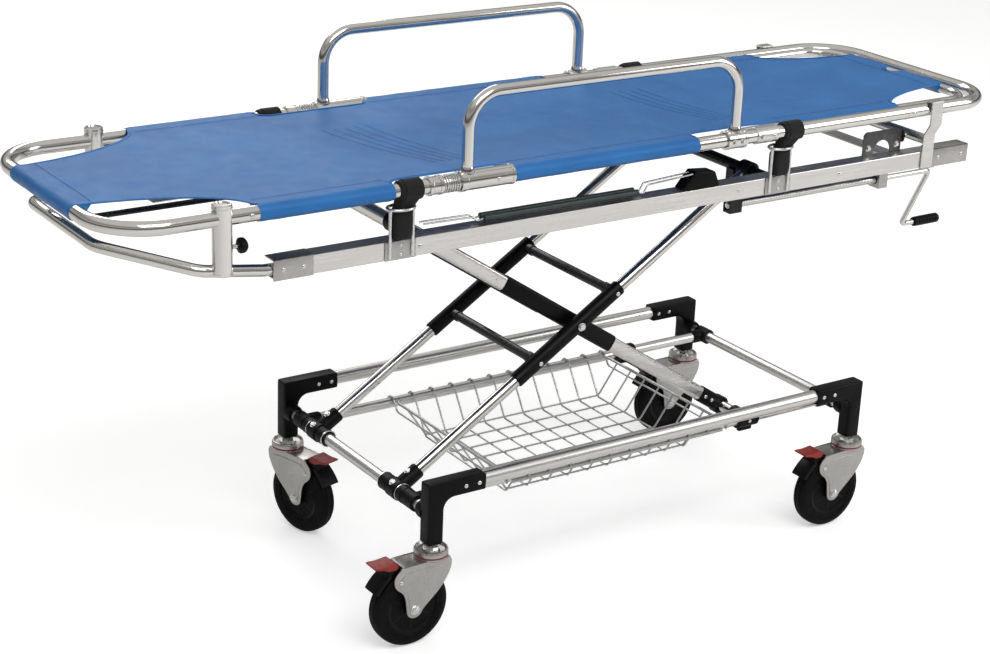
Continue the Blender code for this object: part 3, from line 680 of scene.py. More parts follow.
def build_base():
    elbows, heads = [], []
    for side, sign in SIDES.items():
        y, tuck = sign * STEM_Y, CASTING_ARM - RAIL_TUCK
        ends = [(FOOT_X + tuck, y, BASE_RAIL_Z), (HEAD_X - tuck, y, BASE_RAIL_Z)]
        rod(f"rail_tube_{side}", "base", "satin", ends, BASE_RAIL_R, f"base_rail_{side}", 36)
        inner = sign * INNER_Y
        ends = [(FOOT_X + CROSS_R, inner, CROSS_Z), (HEAD_X - CROSS_R, inner, CROSS_Z)]
        rod(f"lower_rail_{side}", "base", "satin", ends, INNER_R, f"inner_rail_{side}")
        for end in ENDS:
            shapes, node = corner(end, sign), f"corner_casting_{end}_{side}"
            piece(f"corner_{end}_{side}", "base", "black_plastic", shapes, [node])
            for face in (-1, 1):
                at = y + face * CASTING_HALF
                spots = [(CROSS_X[end] + INWARD[end] * across, at, BASE_RAIL_Z) for across in CASTING_RIVETS]
                heads += rivets(spots, (0, face, 0))
            elbows += lower_joint(end, sign)
    piece("corner_rivets", "base", "bright_zinc", heads)
    piece("rail_elbows", "base", "black_plastic", elbows)
    reach = STEM_Y - CASTING_HALF
    for end, x in CROSS_X.items():
        ends = [(x, -reach, CROSS_Z), (x, reach, CROSS_Z)]
        rod(f"cross_{end}", "base", "satin", ends, CROSS_R, f"cross_tube_{end}")
    build_clamp_rings()


def build_clamp_rings():
    """Black spacers and thin bright rings on the foot cross tube, either side of the leg's clamp."""
    spacers, rings = [], []
    for sign in SIGNS:
        for start, stop in CLAMP_SPACERS:
            spot = (FOOT_X, sign * (start + stop) / 2, CROSS_Z)
            spacers.append(collar(spot, ACROSS, stop - start, 0.0165, CROSS_R, edge=0.0015))
            spot = (FOOT_X, sign * (start + 0.001), CROSS_Z)
            rings.append(collar(spot, ACROSS, 0.0016, 0.0171, CROSS_R))
    piece("clamp_spacers", "base", "black_plastic", spacers)
    piece("clamp_rings", "base", "bright_zinc", rings)


# ---------------------------------------------------------------- wire basket

BASKET_LOW, BASKET_HIGH = cad_box("basket")
BASKET_SLOPE = 0.045
WIRE_R = 0.0019
RIM_R = 0.0029
MESH_PITCH = 0.045
# How far the first and last cross wires go below the rim
END_WIRE_DROP = 0.018
# Wire beside each lower rail, seen from the rail's axis: outwards and down
SIDE_WIRE = (0.0125, 0.006)


def basket_rim(z):
    """Closed rectangular loop of wire with rounded corners."""
    low, high = BASKET_LOW, BASKET_HIGH
    start = ((low.x + high.x) / 2, low.y, z)
    corners = [start, (high.x, low.y, z), (high.x, high.y, z), (low.x, high.y, z), (low.x, low.y, z), start]
    return tube(rounded(corners, 0.018, 6)[:-1], RIM_R, 10, looped=True)


def wire_across(fixed, axis, low, high, top, bottom, slope):
    """One wire from rim to rim: down the slope, along the floor and up again."""
    ends = [(low, top), (low + slope, bottom), (high - slope, bottom), (high, top)]
    if axis == "y":
        points = [(fixed, across, z) for across, z in ends]
    else:
        points = [(across, fixed, z) for across, z in ends]
    return tube(rounded(points, 0.010, 4), WIRE_R, 8)


def rim_hook(x, sign):
    """End of a cross wire, curled over the lower rail."""
    turns = arc((0, 0), INNER_R + WIRE_R + 0.0006, 150, -35, 8)
    points = [(x, sign * (BASKET_HIGH.y + 0.001), BASKET_HIGH.z - 0.004)]
    points += [(x, sign * INNER_Y + sign * across, CROSS_Z + z) for across, z in turns]
    return tube(points, WIRE_R, 8)


def build_basket():
    low, high = BASKET_LOW, BASKET_HIGH
    top, bottom = high.z - RIM_R, low.z + WIRE_R
    floor_x, floor_y = high.x - low.x - 2 * BASKET_SLOPE, high.y - low.y - 2 * BASKET_SLOPE
    wires = [basket_rim(top)]
    across = round(floor_x / MESH_PITCH)
    for step in range(-1, across + 2):
        x = low.x + BASKET_SLOPE + step / across * floor_x
        inside = 0 <= step <= across
        slope = BASKET_SLOPE if inside else BASKET_SLOPE * 0.25
        floor = bottom if inside else top - END_WIRE_DROP
        wires.append(wire_across(x, "y", low.y, high.y, top, floor, slope))
        wires += [rim_hook(x, sign) for sign in SIGNS]
    along = round(floor_y / MESH_PITCH)
    for step in range(along + 1):
        y = low.y + BASKET_SLOPE + step / along * floor_y
        wires.append(wire_across(y, "x", low.x, high.x, top, bottom + 2 * WIRE_R, BASKET_SLOPE))
    for sign in SIGNS:
        y, z = sign * (INNER_Y + SIDE_WIRE[0]), CROSS_Z - SIDE_WIRE[1]
        wires.append(tube([(low.x + 0.01, y, z), (high.x - 0.01, y, z)], RIM_R, 10))
    piece("wire_basket", "base", "wire", wires, ["basket"])


# ---------------------------------------------------------------- casters, drawn with the stem on the Z axis

WHEEL_R, WHEEL_HALF = 0.075, 0.017
AXLE_X, AXLE_Z = -0.045, 0.075
FORK_IN = 0.0205
FORK_SHEET = 0.003
DISC_R = 0.031
BRIDGE_Z = (0.1545, 0.1618)
DISC_Z, RACE_Z, CUP_Z, KING_NUT_Z = 0.1575, 0.1660, 0.1675, 0.1755
PEDAL_PIN = (-0.074, 0.134)

# Outlines as (x, z) pairs: the cheek from its front edge to the axle, and from there to its back edge
CHEEK_FRONT = ((0.030, 0.163), (0.0305, 0.148), (0.026, 0.132), (0.008, 0.104), (-0.020, 0.080))
CHEEK_BACK = (
    (-0.064, 0.100), (-0.070, 0.113), (-0.082, 0.122), (-0.0880, 0.132), (-0.087, 0.148), (-0.076, 0.158),
    (-0.070, 0.163),
)
TREAD = (
    (-0.075, 0.166), (-0.083, 0.1725), (-0.104, 0.1700), (-0.123, 0.1708),
    (-0.1235, 0.1675), (-0.106, 0.1640), (-0.095, 0.1590), (-0.080, 0.1580),
)
LEVER = (
    (-0.074, 0.160), (-0.096, 0.160), (-0.1005, 0.1455), (-0.1140, 0.1350), (-0.1120, 0.1270),
    (-0.1010, 0.1345), (-0.0905, 0.1425), (-0.074, 0.150),
)

# Profiles as (distance along the axis, radius) pairs; the tyre's distances are shares of its half width
DISC = ((0, 0.0235), (0.003, 0.0285), (0.006, DISC_R - 0.0006), (0.0075, DISC_R - 0.0006))
CUP = (
    (0, DISC_R - 0.001), (0.001, DISC_R), (0.0075, DISC_R), (0.0105, DISC_R - 0.0015),
    (0.0108, DISC_R - 0.0035), (0.0062, DISC_R - 0.006), (0.0050, 0.0165), (0.0080, 0.0150), (0.0085, 0.0),
)
TYRE = (
    (0.70, 0.046), (0.98, 0.050), (1.0, 0.062), (0.92, 0.0695), (0.80, WHEEL_R - 0.0030),
    (0.66, WHEEL_R - 0.0013), (0.42, WHEEL_R - 0.0004), (0.38, WHEEL_R - 0.0016), (0.30, WHEEL_R - 0.0016),
    (0.26, WHEEL_R - 0.0001),
)
TYRE_RINGS = (0.052, 0.057, 0.061)
HUB = (
    (-0.0185, 0.0115), (-0.0190, 0.0135), (-0.012, 0.0150), (-0.0085, 0.020), (-0.0085, 0.038),
    (-0.0125, 0.0430), (-0.0140, 0.0500),
)


def smoothed(points, rounds):
    """Corner cutting on a closed outline, stopped once it has enough points."""
    for _ in range(rounds):
        cut = []
        for (ax, az), (bx, bz) in zip(points, points[1:] + points[:1]):
            cut.append((ax * 0.75 + bx * 0.25, az * 0.75 + bz * 0.25))
            cut.append((ax * 0.25 + bx * 0.75, az * 0.25 + bz * 0.75))
        points = cut
        if len(points) > 110:
            break
    return points


def fork_shapes():
    """Pressed fork with flanged cheeks that flow out of the swivel head."""
    outline = list(CHEEK_FRONT) + arc((AXLE_X, AXLE_Z), 0.0165, -15, -165, 8) + list(CHEEK_BACK)
    outline = smoothed(outline, 3)
    inner = [(x * 0.78 - 0.008, (z - AXLE_Z) * 0.80 + AXLE_Z + 0.006) for x, z in outline]
    shapes = []
    for sign in (-1, 1):
        shapes.append(slab(outline, sign, FORK_IN, FORK_IN + FORK_SHEET, 0.0010, 2, 60))
        shapes.append(slab(inner, sign, FORK_IN + 0.001, FORK_IN + FORK_SHEET + 0.0012, 0.0010, 3, 60))
    bridge = box((-0.069, -FORK_IN - 0.002, BRIDGE_Z[0]), (0.029, FORK_IN + 0.002, BRIDGE_Z[1]))
    shapes.append(softened(bridge, 0.002))
    shapes.append(turned(DISC, (0, 0, DISC_Z), UP, 56))
    shapes.append(turned(CUP, (0, 0, CUP_Z), UP, 56))
    return shapes


def fork_fittings():
    """King nut, axle bolt with its nut, and the pin of the pedal."""
    shapes = [hexagon((0, 0, KING_NUT_Z), UP, 0.021, 0.0098)]
    for sign in (-1, 1):
        face, out = sign * (FORK_IN + FORK_SHEET + 0.0014), (0, sign, 0)
        shapes.append(hexagon((AXLE_X, face, AXLE_Z), out, 0.0125, 0.0042))
        shapes.append(dome((AXLE_X, face + sign * 0.0045, AXLE_Z), out, 0.0040, 0.0020))
        shapes.append(dome((PEDAL_PIN[0], face - sign * 0.001, PEDAL_PIN[1]), out, 0.0042, 0.0022))
    return shapes


def mirrored(profile, between=()):
    """The profile, the points between, and the profile's mirror image."""
    return [*profile, *between, *((-along, radius) for along, radius in reversed(profile))]


def tyre_shapes():
    """Smooth tyre with shallow tread grooves and fine rings on its walls; the wheel's axis is Y."""
    wall = [(-WHEEL_HALF * share, radius) for share, radius in TYRE]
    shapes = [turned(mirrored(wall, [(0, WHEEL_R)]), (AXLE_X, 0, AXLE_Z), ACROSS, 96)]
    for radius in TYRE_RINGS:
        for sign in (-1, 1):
            circle = arc((AXLE_X, AXLE_Z), radius, 0, 360, 64)[:-1]
            path = [(x, sign * WHEEL_HALF * 0.985, z) for x, z in circle]
            shapes.append(tube(path, 0.0009, 6, looped=True))
    return shapes


def hub_shapes():
    """Moulded rim with six webs and a boss for the bearing."""
    shapes = [turned(mirrored(HUB), (AXLE_X, 0, AXLE_Z), ACROSS, 64)]
    for number in range(6):
        web = softened(box((-0.0022, -0.0125, 0.013), (0.0022, 0.0125, 0.044)), 0.0010, 2)
        turn = Matrix.Rotation(math.pi * number / 3, 4, "Y")
        web.transform(Matrix.Translation((AXLE_X, 0, AXLE_Z)) @ turn)
        shapes.append(web)
    return shapes


def pedal_shapes():
    """Red tread with a flared edge."""
    half = FORK_IN - 0.003
    return [slab(TREAD, 1, -half, half, 0.0016)]


def brake_shapes():
    """Black lever under the tread: it carries the shoe and a toe step."""
    half, inner = FORK_IN - 0.002, WHEEL_R + 0.0078
    shoe = arc((AXLE_X, AXLE_Z), inner + 0.0085, 150, 122, 6) + arc((AXLE_X, AXLE_Z), inner, 122, 150, 6)
    return [slab(LEVER, 1, -half + 0.002, half - 0.002, 0.0018), slab(shoe, 1, -half, half, 0.0012, 2)]


def build_casters():
    ring = [collar((0, 0, RACE_Z), UP, 0.0020, DISC_R + 0.0001, DISC_R - 0.006, 56, 0.0005)]
    kinds = (
        ("fork", "caster", "zinc", fork_shapes(), "caster_fork"),
        ("fork_fittings", "caster", "bright_zinc", fork_fittings(), None),
        ("race_ring", "caster", "red_plastic", ring, None),
        ("tyre", "wheel", "rubber", tyre_shapes(), "caster_wheel"),
        ("hub", "wheel", "black_plastic", hub_shapes(), None),
        ("pedal", "pedal", "red_plastic", pedal_shapes(), "caster_brake_pedal"),
        ("brake_lever", "pedal", "black_plastic", brake_shapes(), None),
    )
    corners = [(f"{end}_{side}", CROSS_X[end], sign * STEM_Y) for end in ENDS for side, sign in SIDES.items()]
    for name, body, material, shapes, stands_for in kinds:
        mesh = mesh_of(name, shapes, material)
        for where, x, y in corners:
            stem = Vector((x, y, 0))
            out = middle(f"caster_wheel_{where}") - stem
            turn = Matrix.Rotation(math.atan2(-out.y, -out.x), 4, "Z")
            made = show(f"{name}_{where}", mesh, Matrix.Translation(stem) @ turn)
            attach(made, f"{body}_{where}")
            if stands_for:
                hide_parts(f"{stands_for}_{where}")


# ---------------------------------------------------------------- scissor lift

FOOT_PIVOT = Vector((FOOT_X, 0, CROSS_Z))
HEAD_PIVOT = Vector((SLIDER_X, 0, PIVOT_Z))
LEG_CENTRE = (FOOT_PIVOT + HEAD_PIVOT) / 2
LEG_HALF = (HEAD_PIVOT - FOOT_PIVOT).length / 2
OUTER_RUN = (HEAD_PIVOT - FOOT_PIVOT).normalized()
INNER_RUN = Vector((OUTER_RUN.x, 0, -OUTER_RUN.z))
OUTER_UP = (UP - OUTER_RUN * OUTER_RUN.z).normalized()
LEG_R = 0.0112
LEG_TRIM = 0.014
ROD_R = 0.0110
# Face of an outer leg's sleeve, from the leg's axis
OUTER_FACE = 0.0143
# Places along a leg, from the scissor centre
OUTER_SLEEVE = (-0.160, 0.110)
INNER_SLEEVE = (-0.180, 0.120)
BRACES = (-0.105, 0.095)
BRACE_R = 0.0092
# Profiles as (distance, radius) pairs
LEG_SOCKET = ((0.010, 0.0150), (0.050, 0.0150), (0.053, 0.0135))
SHOE_SOCKET = ((0.010, 0.0152), (0.034, 0.0152), (0.037, 0.0135))
SLIDER_REACH = 0.186
# Half sizes across the leg and in the plane of the scissor
BAR, BAR_SLEEVE, BAR_SHOE = (0.0088, 0.0142), (0.0108, 0.0164), (0.0102, 0.0160)


def leg_point(run, along, y):
    """The point of a leg's axis at that distance from the scissor centre."""
    return LEG_CENTRE + run * along + Vector((0, y, 0))


def flattened(value):
    """A sine or cosine pushed outwards, so that the oval it draws has flat sides."""
    return math.copysign(abs(value) ** 0.62, value)


def oval(y, start, stop, half):
    """Flat-sided bar along an inner leg; half is its half sizes across the leg and in the scissor's plane."""
    thick, wide = half
    up = INNER_RUN.cross(ACROSS)
    rings = []
    for along in (start, stop):
        spot = leg_point(INNER_RUN, along, y)
        ring = []
        for angle in angles(36):
            out = Vector((0, flattened(math.sin(angle)) * thick, 0))
            ring.append(spot + up * flattened(math.cos(angle)) * wide + out)
        rings.append(ring)
    return bridged(rings)


def outer_leg(sign):
    """The tube of one outer leg, its black fittings and its bolts."""
    y, out = sign * LEG_OUTER_Y, (0, sign, 0)
    start, stop = OUTER_SLEEVE
    ends = [leg_point(OUTER_RUN, along, y) for along in (-LEG_HALF + LEG_TRIM, LEG_HALF - LEG_TRIM)]
    foot, head = leg_point(OUTER_RUN, -LEG_HALF, y), leg_point(OUTER_RUN, LEG_HALF, y)
    profile = [(start, 0.0128), (start + 0.002, 0.0146), (stop - 0.002, 0.0146), (stop, 0.0128)]
    sleeves = [turned(profile, leg_point(OUTER_RUN, 0, y), OUTER_RUN)]
    sleeves.append(collar(foot, ACROSS, 0.030, 0.0185, CROSS_R + 0.0006, edge=0.0018))
    sleeves.append(turned(LEG_SOCKET, foot, OUTER_RUN))
    sleeves.append(collar(head, ACROSS, 0.028, 0.0180, 0.0118))
    bolts = [hexagon(foot + OUTER_RUN * 0.034 + OUTER_UP * 0.0150, OUTER_UP, *SMALL_BOLT)]
    bolts.append(hexagon(foot + OUTER_UP * 0.0183, OUTER_UP, *SMALL_BOLT))
    face = sign * (LEG_OUTER_Y + OUTER_FACE)
    bolts.append(hexagon(leg_point(OUTER_RUN, 0, face), out, 0.0110, 0.0040))
    bolts += rivets([leg_point(OUTER_RUN, along, face) for along in BRACES], out, 0.0045)
    return tube(ends, LEG_R, 32), sleeves, bolts


def build_outer_legs():
    tubes, sleeves, bolts = zip(*(outer_leg(sign) for sign in SIGNS))
    piece("outer_leg_tubes", "outer_legs", "polished", tubes, ["leg_outer_left", "leg_outer_right"])
    piece("outer_leg_sleeves", "outer_legs", "black_plastic", sum(sleeves, []))
    piece("outer_leg_bolts", "outer_legs", "bright_zinc", sum(bolts, []))
    reach = LEG_OUTER_Y - LEG_R
    for name, along in zip(("lower", "upper"), BRACES):
        ends = [leg_point(OUTER_RUN, along, y) for y in (-reach, reach)]
        shapes = [tube(ends, BRACE_R, 28)]
        for sign in (-1, 1):
            spot = leg_point(OUTER_RUN, along, sign * (reach - 0.010))
            shapes.append(collar(spot, ACROSS, 0.014, 0.0108, 0.0088))
        piece(f"brace_{name}", "outer_legs", "black_paint", shapes, [f"leg_brace_{name}"])


def build_inner_legs():
    bars, sleeves, bolts = [], [], []
    for sign in SIGNS:
        y, out = sign * LEG_INNER_Y, (0, sign, 0)
        bars.append(oval(y, -LEG_HALF + LEG_TRIM, LEG_HALF - LEG_TRIM, BAR))
        sleeves.append(softened(oval(y, *INNER_SLEEVE, BAR_SLEEVE), 0.0012, 2, 60))
        for end in (-LEG_HALF, LEG_HALF):
            spot = leg_point(INNER_RUN, end, y)
            sleeves.append(collar(spot, ACROSS, 0.022, 0.0183, 0.0119, edge=0.0015))
        sleeves.append(softened(oval(y, LEG_HALF - 0.062, LEG_HALF - 0.012, BAR_SHOE), 0.001, 2, 60))
        face = y + sign * 0.0100
        spots = [leg_point(INNER_RUN, along, face) for along in (LEG_HALF - 0.050, LEG_HALF - 0.030)]
        bolts += rivets(spots, out, 0.0040, 0.0018)
        face = y + sign * 0.0086
        spots = [leg_point(INNER_RUN, along, face) for along in (-LEG_HALF + 0.040, INNER_SLEEVE[0] - 0.022)]
        bolts += rivets(spots, out, 0.0036, 0.0016)
    piece("inner_leg_bars", "inner_legs", "satin", bars, ["leg_inner_left", "leg_inner_right"])
    piece("inner_leg_sleeves", "inner_legs", "black_plastic", sleeves)
    piece("inner_leg_rivets", "inner_legs", "bright_zinc", bolts)


def build_sliders():
    """The slider in the rails keeps its CAD shape; the one on the base gets shoes over its rails."""
    ends = [(SLIDER_X, -SLIDER_REACH, CROSS_Z), (SLIDER_X, SLIDER_REACH, CROSS_Z)]
    rod("slider_rod", "foot_slider", "polished", ends, ROD_R, "foot_slider")
    shoes, screws = [], []
    for sign in SIGNS:
        spot = Vector((SLIDER_X, sign * INNER_Y, CROSS_Z))
        shoes.append(collar(spot, ALONG, 0.050, 0.0165, INNER_R + 0.0008, edge=0.002))
        shoes.append(turned(SHOE_SOCKET, spot, (0, -sign, 0)))
        tab = box(spot + Vector((-0.016, -0.0045, -0.024)), spot + Vector((0.016, 0.0045, -0.010)))
        shoes.append(softened(tab, 0.002))
        screws.append(dome(spot + Vector((0, sign * 0.0163, 0)), (0, sign, 0), 0.0040, 0.0018))
    piece("slider_shoes", "foot_slider", "black_plastic", shoes)
    piece("slider_screws", "foot_slider", "bright_zinc", screws)
    dress("top_slider", "black_paint", 0.0008)
    reach = RAIL_FACE - 0.004
    ends = [(FOOT_X, -reach, PIVOT_Z), (FOOT_X, reach, PIVOT_Z)]
    rod("leg_pivot_rod", "chassis", "polished", ends, ROD_R, "pivot_tube")


# ---------------------------------------------------------------- chassis

BUMPER_R = 0.0102
BUMPER_BEND = (-0.925, 0.128, 0.782)
POST_X = -0.761
POST_R = 0.0165
POST_Z = (0.744, 0.862)
RING_Z = 0.809
RAIL_RIVETS = (-0.394, 0.296, 0.544)
PLATE_THICK = 0.0022
# The black strap leans towards the head from its bracket to its pole
STRAP_LEAN = {"foot": 0.014, "head": 0.020}
# Sections of the strap's block as (height, half size along the pole, half size across it)
STRAP_BLOCK = (
    (0.832, 0.0195, 0.0150), (0.822, 0.0188, 0.0140), (0.814, 0.0176, 0.0112), (0.809, 0.0170, 0.0102),
    (0.804, 0.0172, 0.0108), (0.796, 0.0180, 0.0128), (0.780, 0.0184, 0.0134), (0.764, 0.0180, 0.0130),
    (0.757, 0.0164, 0.0112),
)
ARCH_X = (0.628, 0.728)
ARCH_TOP = 0.798
ARCH_Y = (0.2140, 0.2165)
SPRING_X = (-0.262, 0.070)
SPRING_RISE = 0.0097
# The two springs of a rail, as distances in from its face
SPRING_INSETS = (0.012, 0.0255)
# Each hook's start at its spring, its far end and how much higher that end stands
SPRING_HOOKS = ((-0.262, -0.384, 0.008), (0.070, 0.190, 0.018))
SCREW_Y = -0.112
SCREW_Z = cad_box("crank")[1].z - 0.008
THREAD_R = 0.0066
KNOB_R = 0.0138
KNOB_SECTIONS = (
    (-0.002, 0.50), (0.0, 0.60), (0.001, 0.86), (0.003, 0.98), (0.008, 1.0), (0.011, 0.93), (0.0125, 0.78),
    (0.013, 0.45),
)
KNOB_STUD = ((-0.0113, 0.0036), (0.0145, 0.0036), (0.0150, 0.0028))


def ease(value):
    """0 to 1 with a soft start and a soft stop."""
    value = min(max(value, 0.0), 1.0)
    return value * value * (3 - 2 * value)


def plate(sign, x, y, z, edge):
    """A box on one side of the middle, from x, y and z ranges, with its edges rounded."""
    low, high = sorted((sign * y[0], sign * y[1]))
    return softened(box((x[0], low, z[0]), (x[1], high, z[1])), edge, 2)


def end_plates():
    """Zinc caps over both ends of each rail, folded over its top and fixed with two rivets."""
    plates, heads = [], []
    face, top = RAIL_FACE + PLATE_THICK, RAIL_HIGH.z + 0.0025
    for sign in SIGNS:
        for start, stop in ((RAIL_LOW.x - 0.003, RAIL_LOW.x + 0.070), (RAIL_HIGH.x - 0.098, RAIL_HIGH.x)):
            plates.append(plate(sign, (start, stop), (RAIL_FACE, face), (RAIL_LOW.z - 0.001, top), 0.0008))
            fold_y, fold_z = (RAIL_FACE - 0.030, face), (RAIL_HIGH.z + 0.0003, top)
            plates.append(plate(sign, (start, stop), fold_y, fold_z, 0.0008))
            spots = [(start + across, sign * face, RAIL_MID_Z) for across in (0.018, stop - start - 0.018)]
            heads += rivets(spots, (0, sign, 0))
    return plates, heads


def build_rails():
    for side in SIDES:
        dress(f"chassis_rail_{side}", "satin", 0.0012)
    plates, heads = end_plates()
    for sign in SIGNS:
        spots = [(x, sign * RAIL_FACE, RAIL_MID_Z) for x in RAIL_RIVETS]
        heads += rivets(spots, (0, sign, 0), 0.0046)
    piece("rail_end_plates", "chassis", "zinc", plates)
    piece("rail_rivets", "chassis", "bright_zinc", heads)
    dress("head_support", "satin", 0.0007)
    dress("crank_bearing", "zinc", 0.0010)


def build_ratchet_plates():
    """Upright plates inside the rails under the backrest, arched between their two legs."""
    shapes, bolts = [], []
    (x0, x1), base, top = ARCH_X, RAIL_HIGH.z, ARCH_TOP
    outline = [(x0, base), (x0, top - 0.006), (x0 + 0.006, top), (x1 - 0.006, top), (x1, top - 0.006)]
    outline += [(x1, base), (x1 - 0.026, base)] + arc(((x0 + x1) / 2, base + 0.004), 0.022, 0, 180, 12)
    outline += [(x0 + 0.026, base)]
    for sign in SIGNS:
        shapes.append(slab(outline, sign, *ARCH_Y, 0.0006, 2, 50))
        for x in (x0 + 0.013, x1 - 0.013):
            spot = (x, sign * (ARCH_Y[1] + 0.0002), base + 0.014)
            bolts.append(hexagon(spot, (0, sign, 0), *SMALL_BOLT))
    piece("ratchet_plates", "chassis", "dark_steel", shapes)
    piece("ratchet_bolts", "chassis", "bright_zinc", bolts)


def build_bumper():
    """Loop of tube round the foot end, with an upright post on each side."""
    y, z = RAIL_FACE - 0.011, RAIL_MID_Z
    half = [(RAIL_LOW.x + 0.004, y, z), (RAIL_LOW.x - 0.014, y, z)]
    half += [(POST_X - 0.035, y + 0.004, z + 0.018), BUMPER_BEND]
    other = [(x, -across, height) for x, across, height in reversed(half)]
    shapes, caps = [tube(rounded(half + other, 0.040, 12), BUMPER_R, 32)], []
    tall = POST_Z[1] - POST_Z[0]
    profile = [(0, POST_R - 0.001), (0.001, POST_R), (tall - 0.0015, POST_R), (tall, POST_R - 0.0015)]
    profile += [(tall, POST_R - 0.004), (tall - 0.002, POST_R - 0.005)]
    for sign in SIGNS:
        spot = Vector((POST_X, sign * POLE_Y, POST_Z[0]))
        shapes.append(turned(profile, spot, UP, 40))
        for rise in (tall - 0.006, 0.004):
            caps.append(collar(spot + UP * rise, UP, 0.003, POST_R + 0.0006, POST_R - 0.001))
    piece("bumper_loop", "chassis", "polished", shapes, ["foot_bumper"])
    piece("post_rings", "chassis", "bright_zinc", caps)


def strap_shapes(x, sign, lean):
    """Webbing wrapped round the pole and led down, leaning by `lean`, through the ring to a padded block."""
    y, top = sign * POLE_Y, x + lean
    wrap = collar((top, y, POLE_Z), ALONG, 0.043, POLE_R + 0.0042, POLE_R + 0.0002, 40, 0.0016)
    second = collar((top + 0.003, y, POLE_Z), ALONG, 0.036, POLE_R + 0.0056, POLE_R, 40, 0.0014)
    rings = []
    for z, half_x, half_y in STRAP_BLOCK:
        ring = []
        at = x + lean * ease((z - 0.795) / 0.040)
        for angle in angles(40):
            c, s = math.cos(angle), math.sin(angle)
            squarish = (abs(c) ** 5 + abs(s) ** 5) ** (-1 / 5)
            crease = 0.0006 * math.sin(z * 900 + 3 * angle)
            ring.append(Vector((at + c * squarish * half_x, y + s * squarish * (half_y + crease), z)))
        rings.append(ring)
    return [wrap, second, bridged(rings)]


def bracket_shapes(x, sign):
    """The plate of a strap bracket; then its two rods, its oval ring and its rivets."""
    face = RAIL_FACE + 0.0004
    base = plate(sign, (x - 0.030, x + 0.030), (face, face + 0.002), (RAIL_LOW.z, RAIL_HIGH.z), 0.0009)
    rods = []
    for across in (-0.022, 0.022):
        rod_y = sign * (face + 0.0035)
        rods.append(tube([(x + across, rod_y, RAIL_LOW.z + 0.004), (x + across, rod_y, RING_Z)], 0.0029, 16))
    y = sign * POLE_Y
    circle = [(x + 0.025 * math.cos(turn), y + 0.017 * math.sin(turn), RING_Z) for turn in angles(48)]
    rods.append(tube(circle, 0.0027, 14, looped=True))
    spots = [(x, sign * (face + 0.002), RAIL_MID_Z + z) for z in (-0.008, 0.008)]
    return [base], rods + rivets(spots, (0, sign, 0), 0.0034, 0.0016)


def build_strap_brackets():
    for end in ENDS:
        for side, sign in SIDES.items():
            node = f"strap_bracket_{end}_{side}"
            x = middle(node).x
            plates, rods = bracket_shapes(x, sign)
            piece(f"bracket_plate_{end}_{side}", "chassis", "zinc", plates, [node])
            piece(f"bracket_ring_{end}_{side}", "chassis", "bright_zinc", rods)
            straps = strap_shapes(x, sign, STRAP_LEAN[end])
            piece(f"pole_strap_{end}_{side}", "chassis", "webbing", straps)


def spring_hook(y, z, inner, outer, rise):
    """Wire from a spring's inner end to its anchor at `outer`, which stands higher by `rise`."""
    out = 1 if outer > inner else -1
    path = [(inner - out * 0.004, y, z), (inner + out * 0.012, y, z - 0.003)]
    path += [(inner + out * 0.020, y, z + rise * 0.6), (outer, y + math.copysign(0.003, y), z + rise)]
    return tube(rounded(path, 0.004, 4), 0.0017, 10)


def build_tension_springs():
    """Covered springs along the top of each rail, hooked to the foot bracket and to a black anchor block."""
    covers, hooks, blocks = [], [], []
    start, stop = SPRING_X
    base, z = RAIL_HIGH.z + 0.0004, RAIL_HIGH.z + SPRING_RISE
    profile = [(start, 0.0030), (start + 0.002, 0.0056), (stop - 0.002, 0.0056), (stop, 0.0030)]
    wedge = [(0.168, base), (0.252, base), (0.240, 0.780), (0.196, 0.784)]
    for sign in SIGNS:
        for inset in SPRING_INSETS:
            y = sign * (RAIL_FACE - inset)
            covers.append(turned(profile, (0, y, z), ALONG, 28))
            hooks += [spring_hook(y, z, *hook) for hook in SPRING_HOOKS]
        blocks.append(slab(wedge, sign, RAIL_FACE - 0.034, RAIL_FACE - 0.004, 0.003))
    piece("spring_covers", "chassis", "spring_sleeve", covers)
    piece("spring_hooks", "chassis", "bright_zinc", hooks)
    piece("spring_anchors", "chassis", "black_plastic", blocks)


def grip_profile(length):
    """Ribbed sleeve as (distance, radius) pairs."""
    profile = [(0, 0.0075), (0.0012, 0.0098)]
    for step in range(7):
        at = length * (0.12 + 0.76 * step / 7)
        profile += [(at, 0.0104), (at + 0.0012, 0.0098), (at + 0.0024, 0.0104)]
    return profile + [(length - 0.003, 0.0102), (length - 0.0008, 0.0088), (length, 0.0062)]


def build_crank():
    """Threaded screw that ends in a cranked handle with a turning grip."""
    low = cad_box("crank")[0]
    grip_low, grip_high = cad_box("crank_grip")
    grip = middle("crank_grip")
    elbow = Vector((grip_low.x - 0.035, SCREW_Y, SCREW_Z))
    corners = [(low.x + 0.40, SCREW_Y, SCREW_Z), elbow, (elbow.x, grip.y, grip.z)]
    corners.append((grip_high.x - 0.002, grip.y, grip.z))
    shapes = [tube(rounded(corners, 0.012, 8), 0.0057, 20)]
    core = [(0, 0.0052), (0.001, THREAD_R), (0.415, THREAD_R)]
    shapes.append(turned(core, (low.x, SCREW_Y, SCREW_Z), ALONG, 24))
    ends = [(low.x + along, SCREW_Y, SCREW_Z) for along in (0.003, 0.385)]
    shapes.append(coil(*ends, THREAD_R, 0.0013, 95, 12))
    piece("crank_rod", "crank", "polished", shapes, ["crank"])
    sleeve = turned(grip_profile(grip_high.x - grip_low.x), (grip_low.x, grip.y, grip.z), ALONG, 32)
    piece("grip_sleeve", "crank_grip", "black_plastic", [sleeve], ["crank_grip"])


